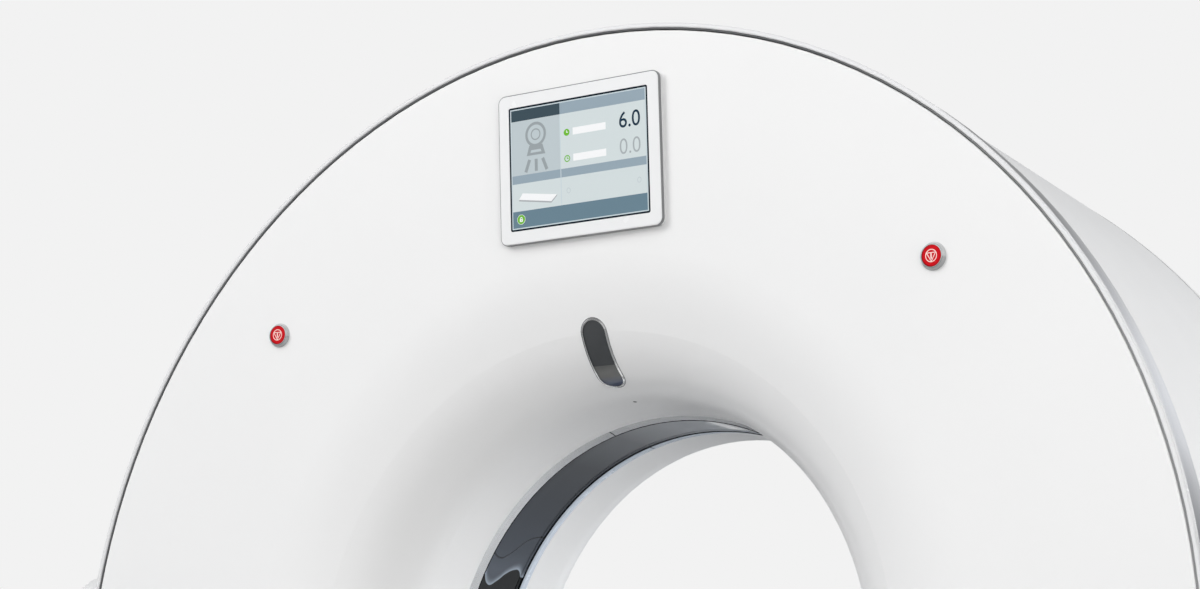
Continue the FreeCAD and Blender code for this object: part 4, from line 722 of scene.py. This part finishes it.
def endMesh(work, name):
    mesh = bpy.data.meshes.new(name)
    work.to_mesh(mesh)
    work.free()
    return mesh


def endDrawing(drawing, name, place):
    drawing.transform(place)
    return endMesh(drawing, name)


# Screen image: two columns of flat panels on the face of the glass

screenImage = {
    "width": 218.6,  # mm
    "height": 165.6,
    "gap": 0.3,  # between the drawing and the end of the glass
    "frame": 2.3,  # dark edge of the glass
    "lip": 1.5,  # pale line inside it
    "column": 0.37,  # shares of the picture, across and down
    "header": 0.095,
    "barTop": 0.557,
    "barEnd": 0.628,
    "footTop": 0.86,
    "seam": 0.003,
    "sign": {  # of the scanner: a ring on its foot, with three rays below
        "place": (0.185, 0.228),
        "ring": (14.8, 3.8),  # mm from here on: radius and width
        "face": 12.6,
        "bore": (7, 1.7),
        "foot": ((-15, -27.5), (15, -27.5), (10.5, -14), (-10.5, -14)),
        "step": ((-9, -24), (9, -24), (7.4, -20.5), (-7.4, -20.5)),
        "rays": ((10.5, -33), (17, -49), 4.8),  # start, end and width
    },
    "timers": {  # a green clock, a white field and a number
        "rows": ((0.255, "6.0", "navy", -0.15), (0.475, "0.0", "faint", 0.2)),
        "clock": (0.42, 0.002),  # across, and down from its row
        "dial": (3.9, 1.4, 4),  # radius and width of its ring, radius of its face
        "hands": (-0.4, 2.6, 2.2, 1.1),  # both starts, upright end, level end, width
        "field": (0.588, 0.245, 9.4),  # middle and width as shares, height
        "number": (0.885, -0.017),
        "size": (29.5, 0.94),
    },
    "marks": {"across": (0.425, 0.945), "down": 0.745, "ring": (2.7, 0.7), "stretch": 1.25},
    "table": {  # seen from the side and above
        "place": (0.19, 0.755),
        "top": ((-30, -1), (22, -9), (31, -1), (-24, 7)),
        "side": ((-30, -3), (22, -11), (22, -9), (-30, -1)),
        "end": ((22, -11), (31, -3), (31, -1), (22, -9)),
    },
    "lock": {  # on a green disc
        "place": (0.062, 0.93),
        "rim": 6.6,
        "disc": 6.1,
        "body": (5, 3.8, 0.5),  # width, height, corner
        "drop": 1.2,
        "bow": (0.8, 1.6, 0.9, 1.4),  # rise, radius, width, stretch
        "hole": (0.9, 1.8),
    },
    "inks": {
        "edge": (0.004, 0.012, 0.022),
        "pale": (0.60, 0.69, 0.73),
        "slate": (0.042, 0.072, 0.093),
        "greyBlue": (0.53, 0.60, 0.63),
        "bar": (0.31, 0.395, 0.46),
        "cell": (0.67, 0.74, 0.75),
        "foot": (0.143, 0.23, 0.288),
        "sign": (0.33, 0.37, 0.39),
        "white": (0.95, 0.96, 0.97),
        "green": (0.16, 0.50, 0.03),
        "navy": (0.006, 0.03, 0.06),
        "faint": (0.40, 0.44, 0.46),
        "shade": (0.42, 0.44, 0.46),
    },
}


def drawScreen(look):
    ink = look["inks"]
    drawing = startDrawing()
    gap = look["gap"]
    addBox(drawing, 0, 0, look["width"] - gap, look["height"] - gap, 0.02, ink["edge"])
    width = look["width"] - 2 * look["frame"]
    height = look["height"] - 2 * look["frame"]
    addBox(drawing, 0, 0, width, height, 0.05, ink["pale"])
    width -= 2 * look["lip"]
    height -= 2 * look["lip"]

    def at(across, down):
        return (across - 0.5) * width, (0.5 - down) * height

    def cell(left, right, top, end, colour, level=0.09):
        middle = at((left + right) / 2, (top + end) / 2)
        addBox(drawing, *middle, (right - left) * width, (end - top) * height, level, ink[colour])

    def flat(place, corners, level, colour):
        points = [(place[0] + x, place[1] + y) for x, y in corners]
        addShape(drawing, points, level, ink[colour])

    def ring(place, size, level, colour, stretch=1):
        addArc(drawing, *place, *size, 0, 360, level, ink[colour], stretch)

    column, header, barTop = look["column"], look["header"], look["barTop"]
    barEnd, footTop, seam = look["barEnd"], look["footTop"], look["seam"]
    cell(0, column, 0, header, "slate")
    cell(column, 1, 0, header, "bar")
    cell(0, column, header, barTop, "greyBlue")
    cell(column, 1, header, barTop, "cell")
    cell(0, 1, barTop, barEnd, "bar")
    cell(0, 1, barEnd, footTop, "cell")
    cell(0, 1, footTop, 1, "foot")
    cell(column - seam, column + seam, header, footTop, "pale", 0.12)

    sign = look["sign"]
    x, y = place = at(*sign["place"])
    ring(place, sign["ring"], 0.14, "sign")
    flat(place, sign["foot"], 0.13, "sign")
    flat(place, sign["step"], 0.16, "greyBlue")
    addDisc(drawing, x, y, sign["face"], 0.15, ink["greyBlue"])
    ring(place, sign["bore"], 0.18, "sign")
    (fromX, fromY), (toX, toY), line = sign["rays"]
    for lean in (-1, 0, 1):
        start, end = (x + lean * fromX, y + fromY), (x + lean * toX, y + toY)
        addLine(drawing, start, end, line, 0.14, ink["sign"])

    timers = look["timers"]
    fieldX, share, fieldHeight = timers["field"]
    handStart, upright, level, line = timers["hands"]
    for down, number, colour, thin in timers["rows"]:
        field = at(fieldX, down)
        addBox(drawing, *field, share * width, fieldHeight, 0.13, ink["white"])
        x, y = place = at(timers["clock"][0], down + timers["clock"][1])
        ring(place, timers["dial"][:2], 0.13, "green")
        if colour == "navy":
            addDisc(drawing, x, y, timers["dial"][2], 0.15, ink["green"])
        hands = ink["white" if colour == "navy" else "green"]
        addLine(drawing, (x, y + handStart), (x, y + upright), line, 0.17, hands)
        addLine(drawing, (x + handStart, y), (x + level, y), line, 0.18, hands)
        place = at(timers["number"][0], down + timers["number"][1])
        addNumber(drawing, number, *place, *timers["size"], thin, 0.14, ink[colour])
    marks = look["marks"]
    for share in marks["across"]:
        ring(at(share, marks["down"]), marks["ring"], 0.13, "greyBlue", marks["stretch"])

    table = look["table"]
    for side, colour in (("top", "white"), ("side", "shade"), ("end", "shade")):
        flat(at(*table["place"]), table[side], 0.14, colour)

    lock = look["lock"]
    x, y = at(*lock["place"])
    low = y - lock["drop"]
    rise, radius, line, stretch = lock["bow"]
    addDisc(drawing, x, y, lock["rim"], 0.13, ink["white"])
    addDisc(drawing, x, y, lock["disc"], 0.15, ink["green"])
    addBox(drawing, x, low, *lock["body"][:2], 0.18, ink["white"], lock["body"][2])
    addArc(drawing, x, y + rise, radius, line, 0, 180, 0.18, ink["white"], stretch)
    addBox(drawing, x, low, *lock["hole"], 0.2, ink["green"])
    return drawing


litLook = {
    "pitch": 0.00054,  # m, of the pixel columns
    "columns": 0.12,  # how much they dim the picture
    "glow": 0.55,
    "unlit": 0.55,
    "level": 0.0015,  # m above the middle of the glass
}


def screenMaterial(look):
    # lit panel: what it shows glows a little, dimmed by faint pixel columns
    material, tree, shader = startMaterial(
        "litScreen", Roughness=0.3, Specular_IOR_Level=0.15, Emission_Strength=look["glow"]
    )
    shown = addNode(tree, "ShaderNodeAttribute", attribute_name="ink").outputs["Color"]
    across = axisOf(tree, objectPoint(tree), "X")
    turns = product(tree, across, 2 * math.pi / look["pitch"])
    lines = remap(tree, combine(tree, "SINE", turns), -1, 1, 0, look["columns"])
    dim = blendColour(tree, lines, shown, black)
    tree.links.new(dim, shader.inputs["Emission Color"])
    tree.links.new(blendColour(tree, look["unlit"], dim, black), shader.inputs["Base Color"])
    return material


screenRight, screenUp, screenNormal = dishFrame(math.radians(90))
screenFace = centreOf("display_screen") + screenNormal * litLook["level"]
screenPlace = placed(screenRight, screenUp, screenNormal, screenFace)
screenMesh = endDrawing(drawScreen(screenImage), "screenImage", screenPlace)
newPiece("screenImage", screenMesh, screenMaterial(litLook))
print("screen drawn:", len(screenMesh.polygons), "shapes")


# Stop signs, printed on the two caps: a ring with a triangle and a bar

stopSign = {
    "ring": 7.3,  # mm
    "line": 1.05,
    "triangle": 6.9,
    "bar": (3, -3.8),
    "barLine": 1.7,  # times the line
    "capLength": 22,
    "ink": (0.95, 0.74, 0.69),
    "worn": (0.7, 0.2, 0.2),
}


def drawStopSign(look):
    drawing = startDrawing()
    ink, line = look["ink"], look["line"]
    addArc(drawing, 0, 0, look["ring"], line, 0, 360, 0.12, ink)
    corners = arcPoints(0, 0, look["triangle"], 150, -90, 2)
    for first, second in zip(corners, corners[1:] + corners[:1]):
        addLine(drawing, first, second, line, 0.16, ink)
    top, low = look["bar"]
    addLine(drawing, (0, top), (0, low), line * look["barLine"], 0.2, ink)
    return drawing


def inkMaterial(look):
    material, tree, shader = startMaterial("printedInk")
    ink = addNode(tree, "ShaderNodeAttribute", attribute_name="ink").outputs["Color"]
    wear = remap(tree, noise(tree, objectPoint(tree), 700, 3), 0.45, 0.7, 0, 0.3)
    colour = blendColour(tree, wear, ink, opaque(look["worn"]))
    dress(tree, shader, colour, remap(tree, wear, 0, 0.3, 0.35, 0.55))
    return material


printedInk = inkMaterial(stopSign)
for side in ("left", "right"):
    cap, sign = f"stop_button_{side}", f"stopSign_{side}"
    middle = centreOf(cap)
    normal = dishFrame(math.atan2(middle.z - boreHeight, middle.x))[2]
    upright = Vector((0, 0, 1)) - normal * normal.z
    upright.normalize()
    face = middle + normal * stopSign["capLength"] / 2000
    place = placed(upright.cross(normal), upright, normal, face)
    mesh = endDrawing(drawStopSign(stopSign), sign, place)
    newPiece(sign, mesh, printedInk, cap)
print("stop signs drawn")


# Thin trim: pieces swept round the bore axis, from a closed profile of radius and depth in metres


def skinRows(name, rows, closed=True):
    # a skin over rows of points, each of them a closed outline
    skin = bmesh.new()
    rows = [[skin.verts.new(point) for point in row] for row in rows]
    for first, second in zip(rows, rows[1:] + rows[:1] if closed else rows[1:]):
        for index in range(len(first)):
            after = (index + 1) % len(first)
            skin.faces.new((first[index], second[index], second[after], first[after]))
    if not closed:
        skin.faces.new(rows[0])
        skin.faces.new(list(reversed(rows[-1])))
    bmesh.ops.recalc_face_normals(skin, faces=skin.faces)
    return endMesh(skin, name)


def sweepProfile(name, profile, start=0, end=360, steps=720):
    closed = end - start >= 360
    rows = []
    for step in range(steps if closed else steps + 1):
        turn = math.radians(start + (end - start) * step / steps)
        across, height = math.cos(turn), math.sin(turn)
        rows.append([(r * across, depth, boreHeight + r * height) for r, depth in profile])
    mesh = skinRows(name, rows, closed)
    mesh.shade_smooth()
    return mesh


def beadProfile(radius, depth, halfWidth, halfDepth, steps=10):
    circle = arcPoints(0, 0, 1, 0, 360, steps)[:-1]
    return [(radius + halfWidth * x, depth + halfDepth * y) for x, y in circle]


def stripProfile(radius, front, back, thick=0.0003):
    # a thin strip that lines a tube, from this radius outwards
    return [(radius, front), (radius, back), (radius + thick, back), (radius + thick, front)]


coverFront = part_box("front_cover")[0].y
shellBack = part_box("side_shell_right")[1].y
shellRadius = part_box("rear_cover")[1].x
boreRadius = windowHigh.x - 0.003
trimRings = {  # radius, depth, half width and half depth of each bead
    "rimGasket": (0.8197, coverFront + 0.0011, 0.0011, 0.0011),
    "windowFrontLine": (boreRadius + 0.0001, windowLow.y - 0.0003, 0.0006, 0.0008),
    "windowBackLine": (boreRadius, windowHigh.y + 0.0078, 0.0016, 0.0015),
    "shellGasket": (shellRadius - 0.0006, shellBack + 0.0001, 0.0008, 0.0008),
}
for name, bead in trimRings.items():
    mesh = sweepProfile(name, beadProfile(*bead))
    finish = "gap_black" if name.startswith("window") else "groove_grey"
    newPiece(name, mesh, finishes[finish])

# a dark band and a pale one carry the glass on to the rear cover
boreStrips = {  # start and end behind the glass, finish, slot
    "windowBand": (-0.0004, 0.0072, "dark_window", "dark_window"),
    "funnelEdge": (0.0090, 0.0240, "edge_blue", "display_white"),
}
stripProud = 0.0006
for name, (start, end, finish, slotName) in boreStrips.items():
    profile = stripProfile(boreRadius - stripProud, windowHigh.y + start, windowHigh.y + end)
    mesh = sweepProfile(name, profile)
    newPiece(name, mesh, finishes[finish])

# Seams where the strips round the bore meet their own ends

ringSeams = {  # angle and length in degrees, profile
    "boreRingSeam": (
        106.1, 0.17,
        [(0.3535, -0.0551), (0.3496, -0.0414), (0.3499, -0.0414), (0.3538, -0.0551)],
    ),
    "rearEdgeSeam": (106.7, 0.2, stripProfile(boreRadius - 0.0008, 0.0495, 0.0625)),
}
for name, (angle, length, profile) in ringSeams.items():
    mesh = sweepProfile(name, profile, angle, angle + length, 4)
    newPiece(name, mesh, finishes["gap_black"])
print("trim laid")


# Display case: a grey edge wrapped round the white front

displayCase = {
    "width": 252,  # mm
    "height": 200,
    "corner": 10,
    # outwards, above the skin
    "edge": [(-0.2, 5.4), (0.9, 5.4), (0.9, 9.6), (0.6, 10.1), (-0.2, 10.1)],
}


def wrapLoop(name, loop, corner, profile, toPlace):
    rows = []
    for x, y, turn in loop:
        across, up = math.cos(turn), math.sin(turn)
        outline = [((corner + out) * across, (corner + out) * up, level) for out, level in profile]
        rows.append([toPlace(x + u, y + v, level) for u, v, level in outline])
    return skinRows(name, rows)


def onDisplay(u, v, level):
    return displayFoot + (screenRight * u + screenUp * v + screenNormal * level) / 1000


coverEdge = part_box("front_cover")[1].x
displayFoot = centreOf("display_bezel")
displayFoot.y = coverFront + (coverEdge - (displayFoot.z - boreHeight)) * math.tan(dishLean)
corner, edge = displayCase["corner"], displayCase["edge"]
displayLoop = roundedLoop(displayCase["width"], displayCase["height"], corner)
edgeMesh = wrapLoop("displayEdge", displayLoop, corner, edge, onDisplay)
newPiece("displayEdge", edgeMesh, finishes["skirt_grey"])
print("display case dressed")


# Lens collar: a bright bevelled rim on the skin round the lens, with a painted highlight low on
# it, and a dark line of painted shade at its foot

lensCollar = {
    "lean": 39.4,  # degrees, of the lens's middle
    "pitch": 65,  # mm, between the middles of its round ends
    "steps": 14,
    "aside": 15,  # degrees round the bore, to skin without a slot
    "reach": 0.1,  # m in front of the lens, where each search for the skin starts
}
collarRings = {
    # profile in mm, away from the middle line and above the skin
    "lensCollar": {
        "profile": [(19.9, -0.3), (19.8, 0.2), (18.4, 1.6), (18, 1.6), (17.7, 1.2), (17.6, -0.3)],
        "finish": "lens_rim",
        "slot": "polished_metal",
    },
    # painted shade: a dark line at the collar's foot, where it meets the skin
    "lensFoot": {
        "profile": [(20.6, -0.2), (20.5, 0.15), (19.7, 0.3), (19.7, -0.2)],
        "finish": "groove_grey",
        "slot": "black_rubber",
    },
}
lensLean = math.radians(lensCollar["lean"])
lensNormal = Vector((0, -math.cos(lensLean), -math.sin(lensLean)))
lensUp = Vector((0, -math.sin(lensLean), math.cos(lensLean)))
framePoints = [vertex.co for vertex in nodes["lens_frame"].data.vertices]
lensReach = [lensUp.dot(point) for point in framePoints]
lensMiddle = (min(lensReach) + max(lensReach)) / 2
lensFront = max(lensNormal.dot(point) for point in framePoints) + lensCollar["reach"]
toBore = Matrix.Translation((0, 0, boreHeight))
asideTurn = Matrix.Rotation(math.radians(-lensCollar["aside"]), 4, "Y")
aside = toBore @ asideTurn @ toBore.inverted()


def onLens(u, v, level):
    # the skin is a turned form: it is met beside the slot, and the point is turned back
    start = Vector((u / 1000, 0, 0)) + lensUp * (lensMiddle + v / 1000) + lensNormal * lensFront
    inward = aside.to_3x3() @ -lensNormal
    _, point, normal, _ = nodes["front_cover"].ray_cast(aside @ start, inward)
    return aside.inverted() @ (point + normal * level / 1000)


def pillLoop(pitch, steps):
    loop = []
    for side, start in ((1, 0), (-1, math.pi)):
        loop += [(0, side * pitch * (step / steps - 0.5), start) for step in range(steps)]
        loop += [(0, side * pitch / 2, start + math.pi * step / steps) for step in range(steps)]
    return loop


collarLoop = pillLoop(lensCollar["pitch"], lensCollar["steps"])
for name, look in collarRings.items():
    mesh = wrapLoop(name, collarLoop, 0, look["profile"], onLens)
    newPiece(name, mesh, finishes[look["finish"]])
print("lens collar laid")


# Fasteners

screwHead = {
    "radius": 0.0055,
    "height": 0.0022,
    "socket": 0.0024,
    "depth": 0.0014,
    "crown": 0.82,  # width of the top, as a share of the head
}


def makeScrewTree(look):
    # screws at the points of the mesh, each turned the way that its point faces
    tree, given = newGroup(
        "screwSet",
        [
            ("Points", "Geometry", None),
            ("Head Radius", "Float", look["radius"]),
            ("Head Height", "Float", look["height"]),
            ("Socket Radius", "Float", look["socket"]),
            ("Socket Depth", "Float", look["depth"]),
            ("Finish", "Material", None),
        ],
        [("Screws", "Geometry")],
        "GeometryNodeTree",
    )

    def lifted(kind, inputs, height):
        mesh = addNode(tree, kind, inputs).outputs["Mesh"]
        lift = addNode(tree, "ShaderNodeCombineXYZ", {"Z": height}).outputs["Vector"]
        moved = addNode(tree, "GeometryNodeTransform", {"Geometry": mesh, "Translation": lift})
        return moved.outputs["Geometry"]

    radius, height = given["Head Radius"], given["Head Height"]
    half = combine(tree, "DIVIDE", height, 2)
    shank = lifted(
        "GeometryNodeMeshCylinder",
        {"Vertices": 28, "Radius": radius, "Depth": half},
        combine(tree, "DIVIDE", half, 2),
    )
    top = product(tree, radius, look["crown"])
    crown = lifted(
        "GeometryNodeMeshCone",
        {"Vertices": 28, "Radius Bottom": radius, "Radius Top": top, "Depth": half},
        half,
    )
    depth = product(tree, given["Socket Depth"], 2)
    hexagon = lifted(
        "GeometryNodeMeshCylinder",
        {"Vertices": 6, "Radius": given["Socket Radius"], "Depth": depth},
        height,
    )
    solid = addNode(tree, "GeometryNodeMeshBoolean", {"Mesh 2": shank}, operation="UNION")
    tree.links.new(crown, solid.inputs["Mesh 2"])
    cut = {"Mesh 1": solid.outputs["Mesh"], "Mesh 2": hexagon}
    head = addNode(tree, "GeometryNodeMeshBoolean", cut, operation="DIFFERENCE")
    kind, inputs = "GeometryNodeInputNamedAttribute", {"Name": "facing"}
    facing = addNode(tree, kind, inputs, data_type="FLOAT_VECTOR").outputs["Attribute"]
    turn = addNode(tree, "FunctionNodeAlignRotationToVector", {"Vector": facing}, axis="Z")
    inputs = {
        "Points": given["Points"],
        "Instance": head.outputs["Mesh"],
        "Rotation": turn.outputs["Rotation"],
    }
    screws = addNode(tree, "GeometryNodeInstanceOnPoints", inputs).outputs["Instances"]
    real = addNode(tree, "GeometryNodeRealizeInstances", {"Geometry": screws}).outputs["Geometry"]
    inputs = {"Geometry": real, "Material": given["Finish"]}
    finished = addNode(tree, "GeometryNodeSetMaterial", inputs).outputs["Geometry"]
    return endGroup(tree, Screws=finished)


screwTree = makeScrewTree(screwHead)


def addScrews(name, spots, finish, body):
    # spots: pairs of a point on the surface and the direction that the head looks
    points = bpy.data.meshes.new(name + "Points")
    points.from_pydata([tuple(point) for point, _ in spots], [], [])
    facing = points.attributes.new("facing", "FLOAT_VECTOR", "POINT")
    facing.data.foreach_set("vector", [value for _, look in spots for value in look])
    carrier = addObject(name + "Points", points)
    modifier = carrier.modifiers.new("screws", "NODES")
    modifier.node_group = screwTree
    socket = screwTree.interface.items_tree["Finish"]
    modifier[socket.identifier] = finishes[finish]
    mesh = plainMesh(carrier)
    mesh.name = name
    newPiece(name, mesh, finishes[finish], body)


rearScrews = {"count": 16, "circle": 0.676}  # between the vents over the fans
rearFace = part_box("rear_cover")[1].y
rearRing = arcPoints(0, boreHeight, rearScrews["circle"], 0, 360, rearScrews["count"])[:-1]
rearSpots = [(Vector((x, rearFace, z)), Vector((0, 1, 0))) for x, z in rearRing]
addScrews("rearCoverScrews", rearSpots, "machined_steel", "gantry")

plinthScrews = {"spots": (-0.6, -0.2, 0.2, 0.6), "height": 0.056}
plinthSpots = []
for side, facing in (("front", -1), ("rear", 1)):
    low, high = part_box(f"plinth_cover_{side}")
    face = low.y if side == "front" else high.y
    for across in plinthScrews["spots"]:
        spot = Vector((across, face, plinthScrews["height"]))
        plinthSpots.append((spot, Vector((0, facing, 0))))
addScrews("plinthScrews", plinthSpots, "machined_steel", "root")
print("fasteners set")


# Stage, world and lamps

stageLook = {
    "size": 60,
    "shown": (0.86, 0.86, 0.86),
    "bounced": (0.42, 0.42, 0.42),
    "backdrop": 0.888,
    "fadeStart": 1.3,  # from the middle of the floor, where it turns into the backdrop
    "fadeEnd": 3.8,
}


def floorMaterial(look):
    material, tree, shader = startMaterial("paleFloor", Roughness=0.7)
    seen = addNode(tree, "ShaderNodeLightPath").outputs["Is Camera Ray"]
    speckle = remap(tree, noise(tree, objectPoint(tree), 3, 4), 0.3, 0.7, 0.97, 1)
    colour = blendColour(tree, seen, opaque(look["bounced"]), opaque(look["shown"]))
    colour = blendColour(tree, speckle, greyOf(0.8), colour)
    tree.links.new(colour, shader.inputs["Base Color"])
    away = addNode(tree, "ShaderNodeVectorMath", {0: objectPoint(tree)}, operation="LENGTH")
    fade = (away.outputs["Value"], look["fadeStart"], look["fadeEnd"])
    far = remap(tree, *fade, interpolation_type="SMOOTHSTEP")
    glow = addNode(tree, "ShaderNodeEmission", {"Color": greyOf(look["backdrop"]), "Strength": 1})
    share = product(tree, far, seen)
    shaders = {0: share, 1: shader.outputs["BSDF"], 2: glow.outputs["Emission"]}
    mixed = addNode(tree, "ShaderNodeMixShader", shaders).outputs["Shader"]
    tree.links.new(mixed, tree.nodes["Material Output"].inputs["Surface"])
    return material


def addFloor(look):
    half = look["size"] / 2
    mesh = bpy.data.meshes.new("floor")
    corners = [(-half, -half, 0), (half, -half, 0), (half, half, 0), (-half, half, 0)]
    mesh.from_pydata(corners, [], [(0, 1, 2, 3)])
    mesh.materials.append(floorMaterial(look))
    floor = addObject("floor", mesh)
    floor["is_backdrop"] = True


addFloor(stageLook)

skyLook = {"above": 0.33, "level": 0.1, "below": 0.12, "tint": (0.93, 0.98, 1.08)}
mirrorLook = {  # share of the backdrop that shines back, by height and from side to side
    "rise": ((0, 1), (0.5, 1), (0.72, 1), (0.82, 0.5), (1, 0.25)),
    "behind": ((0, 0.7), (0.3, 0.7), (0.5, 1.1), (0.65, 1.1), (0.8, 0.7), (1, 0.7)),
    "rear": (-0.1, 0.35),  # where the sides behind begin, by depth
}


def makeWorld(look, mirror):
    # what shines back is the backdrop, darker overhead and to both sides behind
    world = bpy.data.worlds.new("studio")
    world.use_nodes = True
    tree = world.node_tree
    tree.nodes.clear()
    seen = addNode(tree, "ShaderNodeLightPath").outputs
    direction = addNode(tree, "ShaderNodeTexCoord").outputs["Generated"]
    height = remap(tree, axisOf(tree, direction, "Z"), -1, 1)
    soft = rampOf(tree, height, ((0, look["below"]), (0.5, look["level"]), (1, look["above"])))
    across = rampOf(tree, remap(tree, axisOf(tree, direction, "X"), -1, 1), mirror["behind"])
    rear = remap(tree, axisOf(tree, direction, "Y"), *mirror["rear"])
    behind = blendColour(tree, rear, greyOf(1), across)
    shine = product(tree, rampOf(tree, height, mirror["rise"]), behind)
    shine = product(tree, shine, stageLook["backdrop"])
    glossy = combine(tree, "MAXIMUM", seen["Is Glossy Ray"], seen["Is Transmission Ray"])
    shown = blendColour(tree, glossy, timesTint(tree, soft, look["tint"]), shine)
    shown = blendColour(tree, seen["Is Camera Ray"], shown, greyOf(stageLook["backdrop"]))
    background = addNode(tree, "ShaderNodeBackground", {"Color": shown, "Strength": 1})
    addNode(tree, "ShaderNodeOutputWorld", {"Surface": background.outputs["Background"]})
    bpy.context.scene.world = world


makeWorld(skyLook, mirrorLook)

warmWhite = (1, 0.995, 0.985)
lamps = {
    "frontLeftLamp": dict(place=(-3.2, -4.6, 4.2), size=3.6, power=199, colour=warmWhite),
    "frontRightLamp": dict(place=(3.6, -5, 1.8), size=3.6, power=138, colour=warmWhite),
    "frontTopLamp": dict(place=(0, -3.6, 5.6), size=3.6, power=50, colour=warmWhite),
    "rightLamp": dict(place=(5.2, -2.2, 1), size=3, power=56, colour=(1, 0.97, 0.92)),
    "backRightLamp": dict(place=(3.8, 4.8, 1.8), size=3.6, power=136, colour=(0.98, 0.99, 1)),
    "backLamp": dict(place=(1.7, 5.6, 1.3), size=2.4, power=172, colour=(0.95, 0.975, 1)),
}
lampAim = Vector((0, 0, 1.1))
for name, look in lamps.items():
    lamp = addObject(name, bpy.data.lights.new(name, "AREA"))
    lamp.data.energy = look["power"]
    lamp.data.color = look["colour"]
    lamp.data.size = look["size"]
    turn = (lampAim - Vector(look["place"])).to_track_quat("-Z", "Y")
    lamp.matrix_world = Matrix.Translation(look["place"]) @ turn.to_matrix().to_4x4()
    lamp.visible_camera = False
    lamp.visible_glossy = False
bpy.context.scene.view_settings.view_transform = "Standard"
print("stage lit")

low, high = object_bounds()
